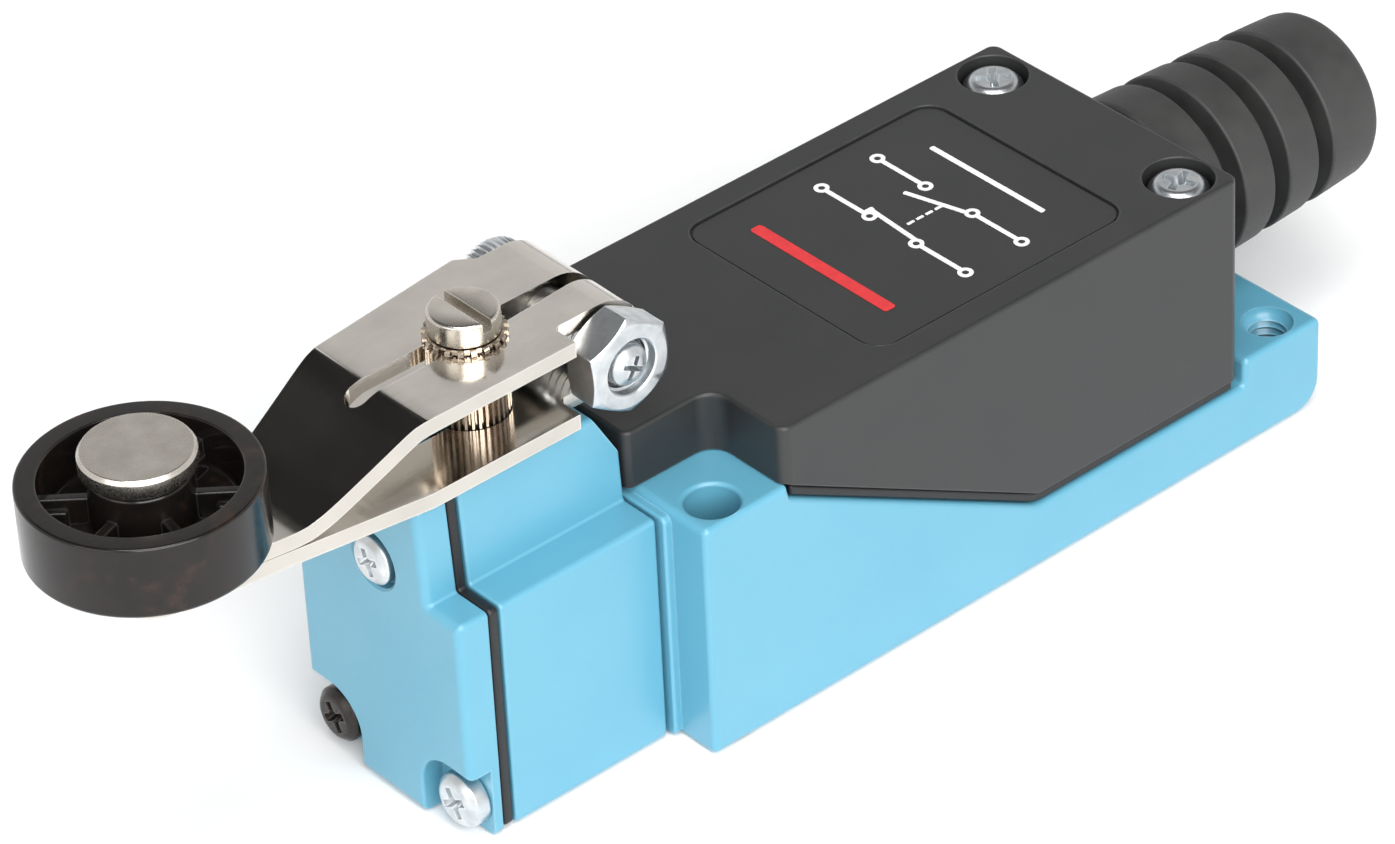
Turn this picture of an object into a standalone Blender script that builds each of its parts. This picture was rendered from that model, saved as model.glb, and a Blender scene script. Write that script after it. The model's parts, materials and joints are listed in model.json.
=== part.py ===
"""Roller-lever limit switch: die-cast body, moulded cover, head with a rotary shaft, and a roller lever.

+X points from the roller towards the cable gland, +Z up out of the cover, and the back mounting face is
the plane Z = 0. The origin is the centre of the back mounting face. All lengths are in metres.
"""
import math

import bmesh
import bpy
from mathutils import Matrix, Vector

# --- clearances ---
FIT = 0.0002          # gap kept between neighbouring pieces
STEPS = 24            # segments of a visible round piece
SMALL_STEPS = 12      # segments of a small or hidden round piece

# --- body ---
BODY_LENGTH = 0.064
BODY_HALF_WIDTH = 0.0136
BODY_WALL = 0.002
HEAD_END_X = -BODY_LENGTH / 2
GLAND_END_X = BODY_LENGTH / 2
HEAD_EAR_Z = 0.0206
GLAND_EAR_Z = 0.0081
GLAND_EAR_LENGTH = 0.0085
BODY_RIM_Z = 0.0057
SLOPE_START_X = HEAD_END_X + 0.0081
SLOPE_END_X = HEAD_END_X + 0.0332
SLOPE_TOP_Z = 0.0193
SLOPE_STEP = 0.0003
PAD_DEPTH = 0.0007
PAD_HALF_WIDTH = 0.0099
EAR_HOLE_RADIUS = 0.0021
THREAD_RADIUS = 0.0017
THREAD_MOUTH_RADIUS = 0.0021
EDGE_RADIUS = 0.0004
HEAD_EAR_HOLE = (HEAD_END_X + 0.0030, 0.0110)
GLAND_EAR_HOLE = (HEAD_END_X + 0.0606, 0.0110)
CORNER_RADIUS = 0.0010
FOOT_RADIUS = 0.0025
COVER_SEAT_GAP = 0.0003
COVER_SEAT_DEPTH = 0.0003

# --- cover ---
COVER_TOP_Z = 0.0257
COVER_WALL = 0.0016
COVER_HALF_WIDTH = 0.0136
COVER_START_X = HEAD_END_X + 0.0077
COVER_END_X = HEAD_END_X + 0.0549
COVER_RIM_RISE = 0.0012
NECK_HALF_WIDTH = 0.00595
NECK_FILLET = 0.0018
COVER_SCREW = (HEAD_END_X + 0.0514, 0.01025)
COUNTERBORE_RADIUS = 0.0028
COUNTERBORE_DEPTH = 0.0026
COVER_SCREW_RADIUS = 0.0015
COVER_SCREW_HEAD = (0.0024, 0.0020)
COVER_SCREW_LENGTH = 0.0200
SCREW_WAY_RADIUS = 0.0018
POST_RADIUS = 0.0017
POST_HALF_WIDTH = 0.0022
POST_LENGTH = 0.0028
LABEL_CENTRE_X = HEAD_END_X + 0.0324
LABEL_SIZE = (0.0260, 0.0222)
LABEL_RADIUS = 0.0020
LABEL_DEPTH = 0.0004
LABEL_THICKNESS = 0.00025

# --- head ---
HEAD_LENGTH = 0.0147
HEAD_HALF_WIDTH = 0.0094
HEAD_STEP_Z = 0.0201
HEAD_TOP_Z = 0.0281
HEAD_TOP_HALF_WIDTH = 0.0059
HEAD_TOP_DRAFT = 0.0005
HEAD_TOP_RADIUS = 0.0006
HEAD_RAMP_Z = 0.0241
HEAD_RAMP_LENGTH = 0.0022
HEAD_BACK_X = HEAD_END_X - 0.0010
HEAD_FRONT_X = HEAD_BACK_X - HEAD_LENGTH
GASKET_BACK_X = HEAD_FRONT_X - FIT / 2
GASKET_FRONT_X = HEAD_FRONT_X - 0.0010
CAP_BACK_X = GASKET_FRONT_X - FIT / 2
CAP_FRONT_X = HEAD_END_X - 0.0197
CAP_FLANGE_X = HEAD_END_X - 0.0177
CAP_LOW_SCREW = (0.0070, 0.0027)
CAP_TOP_SCREW_Z = 0.0213
CAP_RECESS_RADIUS = 0.0034
MECHANISM_Z = 0.0110
CHAMBER_HALF_WIDTH = 0.0058
CHAMBER_Z = (0.0056, 0.0172)
CHAMBER_END_X = HEAD_END_X - 0.0029

# --- shaft and lever ---
SHAFT_X = HEAD_END_X - 0.0099
SHAFT_RADIUS = 0.0035
JOURNAL_RADIUS = 0.0030
BUSH_RADIUS = 0.0040
HEAD_LIP = 0.0008
SEAL_DEPTH = 0.0014
SEAL_SECTION = 0.0002
LEVER_TOP_Z = 0.0362
LEVER_BOTTOM_Z = 0.0286
SHEET = 0.0013
LEVER_HALF_WIDTH = 0.0063
LEVER_FAR_Y = 0.0068
FLARE = (HEAD_END_X - 0.0046, 0.0079)
FOLD_X = HEAD_END_X - 0.0007
LEVER_BEND_X = HEAD_END_X - 0.0185
LEVER_MEET_X = HEAD_END_X - 0.0300
LEVER_TIP_RADIUS = 0.0040
SLOT_WIDTH = 0.0020
SLOT_END_X = HEAD_END_X - 0.0207
NUT_FLATS = 0.0070
NUT_OUTER_Y = -0.0073
NUT_THICKNESS = 0.0032
BOLT_RADIUS = 0.0020
BOLT_HEAD_RADIUS = 0.0033
BOLT_HEAD_HEIGHT = 0.0022
NOTCH_START_X = FOLD_X - 0.0042
NOTCH_Y = NUT_OUTER_Y + NUT_THICKNESS + FIT

# --- roller ---
ROLLER_X = HEAD_END_X - 0.0386
ROLLER_RADIUS = 0.00875
ROLLER_BOTTOM_Z = 0.0328
ROLLER_TOP_Z = 0.0387
ROLLER_RIM = 0.0016
ROLLER_FLOOR = 0.0016
HUB_RADIUS = 0.0036
ROLLER_BORE_RADIUS = 0.0023
RIB_COUNT = 6
RIB_THICKNESS = 0.0008
PIN_RADIUS = 0.0021
PIN_HEAD_RADIUS = 0.0042
PIN_TOP_Z = 0.0410

# --- cable gland ---
GLAND_Z = 0.0170
GLAND_BASE_X = COVER_END_X + 0.0004
GLAND_TIP_X = HEAD_END_X + 0.0776
GLAND_BASE_RADIUS = 0.0081
GLAND_TIP_RADIUS = 0.0072
GLAND_PITCH = 0.0051
GLAND_GROOVE = 0.0018
GLAND_GROOVE_DEPTH = 0.0021
GLAND_GROOVES = 3
GLAND_BORE_RADIUS = 0.0036
GLAND_NECK_RADIUS = 0.0056

# --- switch mechanism ---
CAM_RADIUS = 0.0045
CAM_FLAT = 0.0036
FOLLOWER_X = SHAFT_X + CAM_RADIUS + 0.0003
FOLLOWER_RADIUS = 0.0040
ROD_RADIUS = 0.0022
SPRING_BORE_RADIUS = 0.0044
SPRING_SHOULDER_X = HEAD_END_X + 0.0060
FOLLOWER_SPRING_RADIUS = 0.0033
FOLLOWER_SPRING_WIRE = 0.00035
CARRIER_SPRING_RADIUS = 0.0016
CARRIER_SPRING_WIRE = 0.0003
CAVITY_START_X = HEAD_END_X + 0.0090
CAVITY_END_X = HEAD_END_X + 0.0535
BLOCK_START_X = HEAD_END_X + 0.0145
BLOCK_END_X = HEAD_END_X + 0.0440
BLOCK_HALF_WIDTH = 0.0088
BLOCK_TOP_Z = 0.0145
CHANNEL_HALF_WIDTH = 0.0026
CHANNEL_FLOOR_Z = 0.0080
CARRIER_END_X = HEAD_END_X + 0.0375
CONTACT_PLANES = (HEAD_END_X + 0.0215, HEAD_END_X + 0.0310)
CONTACT_TRAVEL = 0.0015
BRIDGE_HALF = 0.0006
BRIDGE_REACH = 0.0066
BRIDGE_Z = (0.0102, 0.0120)
BRIDGE_PLAY = 0.0003
TERMINAL_Y = 0.0058
TERMINAL_SCREW_OFFSET = 0.0051

parts = bpy.data.collections.new("limit_switch")
cutters = bpy.data.collections.new("cutters")


def clear_scene():
    for item in list(bpy.data.objects):
        bpy.data.objects.remove(item, do_unlink=True)
    bpy.context.scene.collection.children.link(parts)
    bpy.context.scene.collection.children.link(cutters)


def material(name, colour, roughness, metallic=0.0):
    made = bpy.data.materials.new(name)
    made.use_nodes = True
    shader = made.node_tree.nodes["Principled BSDF"]
    shader.inputs["Base Color"].default_value = (*colour, 1.0)
    shader.inputs["Roughness"].default_value = roughness
    shader.inputs["Metallic"].default_value = metallic
    return made


def keep(name, mesh, finish):
    """A named part, made from a mesh that is already in its own frame."""
    made = bpy.data.objects.new(name, mesh)
    parts.objects.link(made)
    if finish:
        mesh.materials.append(finish)
    return made


def as_cutter(made):
    parts.objects.unlink(made)
    cutters.objects.link(made)
    made.hide_render = True
    made.display_type = "WIRE"
    return made


def box(name, low, high, finish=None):
    """A box between two corners, with its origin at its centre."""
    form = bmesh.new()
    bmesh.ops.create_cube(form, size=1.0)
    size = Vector(high) - Vector(low)
    bmesh.ops.scale(form, vec=size, verts=form.verts)
    mesh = bpy.data.meshes.new(name)
    form.to_mesh(mesh)
    form.free()
    made = keep(name, mesh, finish)
    made.location = (Vector(high) + Vector(low)) / 2
    return made


AXES = {
    "z": Matrix.Identity(4),
    "x": Matrix.Rotation(math.pi / 2, 4, "Y"),
    "y": Matrix.Rotation(-math.pi / 2, 4, "X"),
}


def turned(name, outline, place, axis, finish=None, steps=STEPS, closed=False):
    """A piece turned about an axis. The outline is (radius, height) pairs, from the top down its outside."""
    form = bmesh.new()
    rim = [form.verts.new((radius, 0.0, height)) for radius, height in outline]
    for first, second in zip(rim, rim[1:]):
        form.edges.new((first, second))
    if closed:
        form.edges.new((rim[-1], rim[0]))
    mesh = bpy.data.meshes.new(name)
    form.to_mesh(mesh)
    form.free()
    made = keep(name, mesh, finish)
    made.matrix_world = Matrix.Translation(place) @ AXES[axis]
    screw = made.modifiers.new("Turn", "SCREW")
    screw.steps = steps
    screw.render_steps = steps
    screw.use_merge_vertices = True
    screw.merge_threshold = 0.00001
    screw.use_normal_calculate = False
    return made


def rod(name, radius, start, end, place, axis, finish=None, steps=SMALL_STEPS):
    """A plain cylinder from start to end along its axis, measured from its place."""
    outline = [(0.0, end), (radius, end), (radius, start), (0.0, start)]
    return turned(name, outline, place, axis, finish, steps)


def ring(name, outer, inner, start, end, place, axis, finish=None, steps=SMALL_STEPS):
    outline = [(outer, end), (outer, start), (inner, start), (inner, end)]
    return turned(name, outline, place, axis, finish, steps, closed=True)


PLANES = {
    "xy": Matrix.Identity(4),
    "xz": Matrix.Rotation(math.pi / 2, 4, "X"),
    "yz": Matrix.Rotation(math.pi / 2, 4, "Z") @ Matrix.Rotation(math.pi / 2, 4, "X"),
}


def prism(name, outline, plane, middle, thickness, finish=None):
    """A flat outline extruded by its thickness about a middle plane."""
    curve = bpy.data.curves.new(name, "CURVE")
    curve.dimensions = "2D"
    curve.fill_mode = "BOTH"
    curve.extrude = thickness / 2
    spline = curve.splines.new("POLY")
    spline.points.add(len(outline) - 1)
    for point, (across, up) in zip(spline.points, outline):
        point.co = (across, up, 0.0, 1.0)
    spline.use_cyclic_u = True
    guide = bpy.data.objects.new(name + "_outline", curve)
    parts.objects.link(guide)
    bpy.context.view_layer.update()
    seen = guide.evaluated_get(bpy.context.evaluated_depsgraph_get())
    mesh = bpy.data.meshes.new_from_object(seen)
    bpy.data.objects.remove(guide, do_unlink=True)
    form = bmesh.new()
    form.from_mesh(mesh)
    bmesh.ops.remove_doubles(form, verts=form.verts, dist=0.000001)
    bmesh.ops.recalc_face_normals(form, faces=form.faces)
    bmesh.ops.dissolve_limit(form, angle_limit=0.001, verts=form.verts, edges=form.edges)
    form.to_mesh(mesh)
    form.free()
    mesh.materials.clear()
    made = keep(name, mesh, finish)
    offset = {"xy": (0, 0, middle), "xz": (0, middle, 0), "yz": (middle, 0, 0)}[plane]
    made.matrix_world = Matrix.Translation(offset) @ PLANES[plane]
    return made


def arc(centre, radius, start, end, steps):
    """Points on an arc, angles in degrees."""
    turns = [math.radians(start + (end - start) * step / steps) for step in range(steps + 1)]
    return [(centre[0] + radius * math.cos(turn), centre[1] + radius * math.sin(turn)) for turn in turns]


def rounded(outline, radii, steps=4):
    """An outline whose corners are rounded. A radius of zero leaves its corner sharp."""
    result = []
    count = len(outline)
    for index, (corner, radius) in enumerate(zip(outline, radii)):
        here = Vector(corner)
        if not radius:
            result.append(tuple(here))
            continue
        before = (Vector(outline[index - 1]) - here).normalized()
        after = (Vector(outline[(index + 1) % count]) - here).normalized()
        half = before.angle(after) / 2
        reach = radius / math.tan(half)
        centre = here + (before + after).normalized() * radius / math.sin(half)
        first = here + before * reach - centre
        last = here + after * reach - centre
        sweep = first.angle_signed(last)
        for step in range(steps + 1):
            turn = -sweep * step / steps
            spoke = Matrix.Rotation(turn, 2) @ first
            result.append(tuple(centre + spoke))
    return result


def rectangle(half_x, half_y, radius, centre=(0.0, 0.0)):
    corners = [(-half_x, -half_y), (half_x, -half_y), (half_x, half_y), (-half_x, half_y)]
    moved = [(x + centre[0], y + centre[1]) for x, y in corners]
    return rounded(moved, [radius] * 4)


def boolean(made, tool, operation):
    change = made.modifiers.new(operation.title(), "BOOLEAN")
    change.operation = operation
    change.solver = "EXACT"
    change.object = as_cutter(tool)


def cut(made, *tools):
    for tool in tools:
        boolean(made, tool, "DIFFERENCE")


def join(made, *tools):
    for tool in tools:
        boolean(made, tool, "UNION")


def trim(made, tool):
    boolean(made, tool, "INTERSECT")


def soften(made, width, segments=2, angle=40.0):
    """Rounds the sharp edges of a finished shape."""
    bevel = made.modifiers.new("Edges", "BEVEL")
    bevel.width = width
    bevel.segments = segments
    bevel.limit_method = "ANGLE"
    bevel.angle_limit = math.radians(angle)
    bevel.use_clamp_overlap = True


def hold(axis_point, name, *pieces):
    """Parents moving pieces to an empty on their joint's axis."""
    axis = bpy.data.objects.new(name, None)
    axis.location = axis_point
    parts.objects.link(axis)
    for piece in pieces:
        piece.parent = axis
        piece.matrix_parent_inverse = Matrix.Translation(-Vector(axis_point))


def head_outline(inset=0.0):
    """The head's stepped cross-section across Y and Z: a wide foot and a narrower, drafted top."""
    low = HEAD_HALF_WIDTH - inset
    top = HEAD_TOP_HALF_WIDTH - inset
    corners = [
        (-low, inset), (low, inset), (low, HEAD_STEP_Z - inset), (top, HEAD_STEP_Z - inset),
        (top - HEAD_TOP_DRAFT, HEAD_TOP_Z - inset), (-top + HEAD_TOP_DRAFT, HEAD_TOP_Z - inset),
        (-top, HEAD_STEP_Z - inset), (-low, HEAD_STEP_Z - inset),
    ]
    shoulder = 0.0007
    return rounded(corners, [0, 0, shoulder, 0, HEAD_TOP_RADIUS, HEAD_TOP_RADIUS, 0, shoulder])


def body_outline():
    """The side outline of the body, whose rim slopes down from the head towards the gland."""
    ear_x = GLAND_END_X - GLAND_EAR_LENGTH
    corners = [
        (HEAD_END_X, 0.0), (GLAND_END_X, 0.0), (GLAND_END_X, GLAND_EAR_Z), (ear_x, GLAND_EAR_Z),
        (ear_x, BODY_RIM_Z), (SLOPE_END_X, BODY_RIM_Z), (SLOPE_START_X + SLOPE_STEP, SLOPE_TOP_Z),
        (SLOPE_START_X, HEAD_EAR_Z), (HEAD_END_X, HEAD_EAR_Z),
    ]
    return rounded(corners, [0, FOOT_RADIUS, 0, 0, 0, 0, 0, 0, 0])


def cover_plan(inset=0.0):
    """The cover seen from above: a wide box with a narrow neck towards the head."""
    wide = COVER_HALF_WIDTH - inset
    neck = NECK_HALF_WIDTH - inset
    start = HEAD_END_X - PAD_DEPTH + inset
    step = COVER_START_X + inset
    end = COVER_END_X - inset
    corners = [
        (start, -neck), (step, -neck), (step, -wide), (end, -wide),
        (end, wide), (step, wide), (step, neck), (start, neck),
    ]
    corner = CORNER_RADIUS
    radii = [0.0004, NECK_FILLET, corner, corner, corner, corner, NECK_FILLET, 0.0004]
    return rounded(corners, radii)


def cover_side():
    """The space above the cover's lower edge, which slopes down beside the body's rim."""
    lift = COVER_RIM_RISE
    start = HEAD_END_X - 0.0030
    end = COVER_END_X + 0.0030
    return [
        (start, HEAD_EAR_Z + FIT), (SLOPE_START_X, HEAD_EAR_Z + FIT), (SLOPE_END_X, BODY_RIM_Z + lift),
        (end, BODY_RIM_Z + lift), (end, COVER_TOP_Z + lift), (start, COVER_TOP_Z + lift),
    ]


def make_body(paint):
    body = prism("base_housing", body_outline(), "xz", 0.0, 2 * BODY_HALF_WIDTH, paint)
    soften(body, EDGE_RADIUS, 1)
    pad_z = HEAD_STEP_Z / 2
    pad = prism("pad", rectangle(PAD_HALF_WIDTH, pad_z, 0.0006, (0.0, pad_z)), "yz",
                HEAD_END_X, 2 * PAD_DEPTH)
    join(body, pad)
    wall = BODY_WALL
    inner = BODY_HALF_WIDTH - wall
    cavity_length = CAVITY_END_X - CAVITY_START_X
    cavity_middle = (CAVITY_END_X + CAVITY_START_X) / 2
    cavity = prism("cavity", rectangle(cavity_length / 2, inner, 0.0015, (cavity_middle, 0.0)), "xy",
                   HEAD_EAR_Z / 2 + wall, HEAD_EAR_Z)
    rod_way = ROD_RADIUS + 0.0004
    bore_outline = [
        (0.0, CAVITY_START_X + 0.0010), (rod_way, CAVITY_START_X + 0.0010), (rod_way, SPRING_SHOULDER_X),
        (SPRING_BORE_RADIUS, SPRING_SHOULDER_X), (SPRING_BORE_RADIUS, HEAD_END_X - 0.0040),
        (0.0, HEAD_END_X - 0.0040),
    ]
    bore = turned("spring_bore", bore_outline, (0, 0, MECHANISM_Z), "x", steps=SMALL_STEPS)
    groove = ring("seal_groove", 0.0066, 0.0052, -0.0020, 0.0007, (HEAD_END_X, 0, MECHANISM_Z), "x")
    seat = prism("cover_seat", cover_plan(-COVER_SEAT_GAP), "xy", HEAD_EAR_Z, 2 * COVER_SEAT_DEPTH)
    cut(body, cavity, bore, groove, seat)
    hole_x, hole_y = HEAD_EAR_HOLE
    far_x, far_y = GLAND_EAR_HOLE
    tall = 0.0300
    for mark, x, y in (("a", hole_x, -hole_y), ("b", far_x, far_y)):
        cut(body, rod("ear_hole_" + mark, EAR_HOLE_RADIUS, -0.0050, tall, (x, y, 0), "z"))
    for mark, x, y, top in (("a", hole_x, hole_y, HEAD_EAR_Z), ("b", far_x, -far_y, GLAND_EAR_Z)):
        mouth = THREAD_MOUTH_RADIUS - THREAD_RADIUS
        outline = [
            (0.0, top + 0.0010), (THREAD_MOUTH_RADIUS, top + 0.0010), (THREAD_MOUTH_RADIUS, top - 0.0004),
            (THREAD_RADIUS, top - 0.0004 - mouth), (THREAD_RADIUS, -0.0010), (0.0, -0.0010),
        ]
        cut(body, turned("tapped_hole_" + mark, outline, (x, y, 0), "z", steps=SMALL_STEPS))
    screw_x, screw_y = COVER_SCREW
    for mark, side in (("a", -1), ("b", 1)):
        post = box("post_" + mark, (screw_x - POST_LENGTH, side * screw_y - POST_HALF_WIDTH, wall - 0.0005),
                   (CAVITY_END_X + 0.0010, side * screw_y + POST_HALF_WIDTH, BODY_RIM_Z - 0.0005))
        join(body, post)
        cut(body, rod("post_hole_" + mark, POST_RADIUS, 0.0012, 0.0100, (screw_x, side * screw_y, 0), "z"))
    return body


def make_cover(plastic):
    cover = prism("switch_cover", cover_plan(), "xy", COVER_TOP_Z / 2, COVER_TOP_Z, plastic)
    soften(cover, 0.0005, 1)
    trim(cover, prism("cover_side", cover_side(), "xz", 0.0, 2 * COVER_HALF_WIDTH + 0.0040))
    inside = prism("cover_inside", cover_plan(COVER_WALL), "xy", 0.0, 2 * (COVER_TOP_Z - COVER_WALL))
    cut(cover, inside)
    x, y = COVER_SCREW
    seat_z = COVER_TOP_Z - COUNTERBORE_DEPTH
    for mark, side in (("a", -1), ("b", 1)):
        boss = box("boss_" + mark, (x - 0.0042, side * y - 0.0026, BODY_RIM_Z + COVER_RIM_RISE),
                   (COVER_END_X - 0.0008, side * y + 0.0026, COVER_TOP_Z - 0.0008))
        join(cover, boss)
        cut(cover, rod("counterbore_" + mark, COUNTERBORE_RADIUS, seat_z, COVER_TOP_Z + 0.0010,
                       (x, side * y, 0), "z", steps=STEPS),
            rod("screw_way_" + mark, SCREW_WAY_RADIUS, 0.0, COVER_TOP_Z, (x, side * y, 0), "z"))
    inlet = rod("inlet", GLAND_NECK_RADIUS + FIT, -0.0060, 0.0060, (COVER_END_X, 0, GLAND_Z), "x",
                steps=STEPS)
    panel = prism("panel", rectangle(LABEL_SIZE[0] / 2, LABEL_SIZE[1] / 2, LABEL_RADIUS,
                                     (LABEL_CENTRE_X, 0.0)), "xy", COVER_TOP_Z, 2 * LABEL_DEPTH)
    cut(cover, inlet, panel)
    return cover


def make_label(ink):
    half_x = LABEL_SIZE[0] / 2 - FIT
    half_y = LABEL_SIZE[1] / 2 - FIT
    middle = COVER_TOP_Z - LABEL_DEPTH + FIT / 2 + LABEL_THICKNESS / 2
    return prism("label_plate", rectangle(half_x, half_y, LABEL_RADIUS - FIT, (LABEL_CENTRE_X, 0.0)),
                 "xy", middle, LABEL_THICKNESS, ink)


def make_cover_gasket(rubber):
    """A strip between the cover's lower edge and the body's rim, following the slope."""
    low = FIT
    high = COVER_RIM_RISE - FIT
    start = SLOPE_START_X + 0.0006
    end = COVER_END_X - 0.0005
    foot_x = SLOPE_START_X + SLOPE_STEP
    drop = (SLOPE_TOP_Z - BODY_RIM_Z) / (SLOPE_END_X - foot_x)
    start_z = SLOPE_TOP_Z - drop * (start - foot_x)
    band = [
        (start, start_z + low), (SLOPE_END_X, BODY_RIM_Z + low), (end, BODY_RIM_Z + low),
        (end, BODY_RIM_Z + high), (SLOPE_END_X, BODY_RIM_Z + high), (start, start_z + high),
    ]
    gasket = prism("cover_gasket", band, "xz", 0.0, 2 * (COVER_HALF_WIDTH - 0.0005), rubber)
    inner_length = (end - start) / 2 - 0.0012
    inner = rectangle(inner_length, BODY_HALF_WIDTH - BODY_WALL + 0.0001, 0.0008, ((end + start) / 2, 0.0))
    cut(gasket, prism("gasket_window", inner, "xy", 0.0150, 0.0400))
    x, y = COVER_SCREW
    for mark, side in (("a", -1), ("b", 1)):
        cut(gasket, rod("gasket_way_" + mark, SCREW_WAY_RADIUS, 0.0, COVER_TOP_Z, (x, side * y, 0), "z"))
    return gasket


def pan_screw(name, head_radius, head_height, shank_radius, length, place, axis, turn, metal):
    """A pan-head screw with a cross recess. Its head stands from zero up its axis, its shank runs down."""
    crown = head_height * 0.45
    outline = [(0.0, head_height)]
    outline += [(head_radius * 0.62, head_height), (head_radius * 0.9, head_height - crown * 0.45)]
    outline += [(head_radius, head_height - crown), (head_radius, 0.0), (shank_radius, 0.0)]
    outline += [(shank_radius, -length + 0.0004), (shank_radius - 0.0004, -length), (0.0, -length)]
    screw = turned(name, outline, place, axis, metal, steps=SMALL_STEPS)
    arm = head_radius * 0.58
    width = head_radius * 0.11
    depth = head_height * 0.55
    for mark, long_x, long_y in (("x", arm, width), ("y", width, arm)):
        blade = box(name + "_recess_" + mark, (-long_x, -long_y, head_height - depth),
                    (long_x, long_y, head_height + 0.0005))
        centre = Matrix.Translation((0, 0, head_height - depth / 2 + 0.00025))
        spin = Matrix.Rotation(turn, 4, "Z")
        blade.matrix_world = Matrix.Translation(place) @ AXES[axis] @ spin @ centre
        cut(screw, blade)
    return screw


def make_cover_screws(zinc):
    x, y = COVER_SCREW
    seat_z = COVER_TOP_Z - COUNTERBORE_DEPTH + FIT
    for mark, side in (("near", -1), ("far", 1)):
        pan_screw("cover_screw_" + mark, *COVER_SCREW_HEAD, COVER_SCREW_RADIUS, COVER_SCREW_LENGTH,
                  (x, side * y, seat_z), "z", 0.6 + side * 0.3, zinc)


def make_head(paint):
    middle = (HEAD_BACK_X + HEAD_FRONT_X) / 2
    head = prism("head_housing", head_outline(), "yz", middle, HEAD_LENGTH, paint)
    soften(head, 0.0003, 1, 70.0)
    low_end = Vector((HEAD_BACK_X, HEAD_RAMP_Z))
    high_end = Vector((HEAD_BACK_X - HEAD_RAMP_LENGTH, HEAD_TOP_Z))
    along = high_end - low_end
    ramp = [low_end - along, high_end + along, (HEAD_BACK_X + HEAD_LENGTH, HEAD_TOP_Z + along.y)]
    low_z, high_z = CHAMBER_Z
    chamber = box("chamber", (HEAD_FRONT_X - 0.0010, -CHAMBER_HALF_WIDTH, low_z),
                  (CHAMBER_END_X, CHAMBER_HALF_WIDTH, high_z))
    way = rod("spring_way", SPRING_BORE_RADIUS, -0.0060, 0.0060, (CHAMBER_END_X, 0, MECHANISM_Z), "x")
    bore = rod("bush_bore", BUSH_RADIUS + FIT, high_z - 0.0010, HEAD_TOP_Z - HEAD_LIP, (SHAFT_X, 0, 0), "z")
    shaft_way = rod("shaft_way", SHAFT_RADIUS + FIT, high_z, HEAD_TOP_Z + 0.0010, (SHAFT_X, 0, 0), "z",
                    steps=STEPS)
    socket = rod("shaft_socket", JOURNAL_RADIUS + FIT, low_z - 0.0025, low_z + 0.0010, (SHAFT_X, 0, 0), "z")
    cut(head, prism("end_ramp", ramp, "xz", 0.0, 2 * HEAD_HALF_WIDTH + 0.0020), chamber, way, bore, shaft_way,
        socket)
    y, z = CAP_LOW_SCREW
    for mark, side in (("a", -1), ("b", 1)):
        cut(head, rod("cap_hole_" + mark, 0.0014, -0.0020, 0.0100, (HEAD_FRONT_X, side * y, z), "x"))
    cut(head, rod("cap_hole_top", 0.0014, -0.0020, 0.0013, (HEAD_FRONT_X, 0, CAP_TOP_SCREW_Z), "x"))
    return head


def screw_ways(piece, start, end):
    """Clearance holes for the three cap screws through a piece of the head's outline."""
    y, z = CAP_LOW_SCREW
    places = (("a", -y, z), ("b", y, z), ("top", 0.0, CAP_TOP_SCREW_Z))
    for mark, across, up in places:
        cut(piece, rod(piece.name + "_way_" + mark, 0.0015, start, end, (0, across, up), "x"))


def make_head_gasket(rubber):
    middle = (GASKET_BACK_X + GASKET_FRONT_X) / 2
    gasket = prism("head_gasket", head_outline(0.0003), "yz", middle, GASKET_BACK_X - GASKET_FRONT_X, rubber)
    low_z, high_z = CHAMBER_Z
    window = box("gasket_opening", (GASKET_FRONT_X - 0.0010, -CHAMBER_HALF_WIDTH + 0.0004, low_z + 0.0004),
                 (GASKET_BACK_X + 0.0010, CHAMBER_HALF_WIDTH - 0.0004, high_z - 0.0004))
    cut(gasket, window)
    screw_ways(gasket, GASKET_FRONT_X - 0.0010, GASKET_BACK_X + 0.0010)
    return gasket


def make_cap(paint):
    middle = (CAP_BACK_X + CAP_FRONT_X) / 2
    cap = prism("head_cap", head_outline(), "yz", middle, CAP_BACK_X - CAP_FRONT_X, paint)
    soften(cap, 0.0005, 2, 70.0)
    y, z = CAP_LOW_SCREW
    edge_y = HEAD_HALF_WIDTH + 0.0010
    depth = CAP_FLANGE_X - CAP_FRONT_X
    for mark, side in (("a", -1), ("b", 1)):
        corner = [(edge_y, -0.0010), (y - CAP_RECESS_RADIUS, -0.0010)]
        corner += arc((y, z), CAP_RECESS_RADIUS, 180, 90, 5) + [(edge_y, z + CAP_RECESS_RADIUS)]
        pocket = [(side * across, up) for across, up in corner]
        cut(cap, prism("cap_pocket_" + mark, pocket, "yz", CAP_FLANGE_X - depth, 2 * depth))
    cut(cap, rod("cap_top_pocket", 0.0026, CAP_FRONT_X - 0.0010, CAP_FRONT_X + 0.0010,
                 (0, 0, CAP_TOP_SCREW_Z), "x"))
    screw_ways(cap, CAP_FRONT_X, CAP_BACK_X + 0.0010)
    return cap


def make_cap_screws(zinc, black):
    """The three cap screws point into the head, so their own axis points back out along -X."""
    y, z = CAP_LOW_SCREW
    seat = CAP_FLANGE_X - FIT
    out = Matrix.Rotation(math.pi, 4, "Z")
    low = (("head_screw_near", -y, zinc), ("head_screw_far", y, black))
    for name, across, metal in low:
        screw = pan_screw(name, 0.0022, 0.0017, 0.0012, 0.0090, (-seat, -across, z), "x", 0.5, metal)
        turn_round(screw, name, out)
    top_seat = CAP_FRONT_X + 0.0010 - FIT
    screw = pan_screw("head_screw_top", 0.0022, 0.0014, 0.0012, 0.0040, (-top_seat, 0.0, CAP_TOP_SCREW_Z),
                      "x", 0.9, zinc)
    turn_round(screw, "head_screw_top", out)


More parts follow.
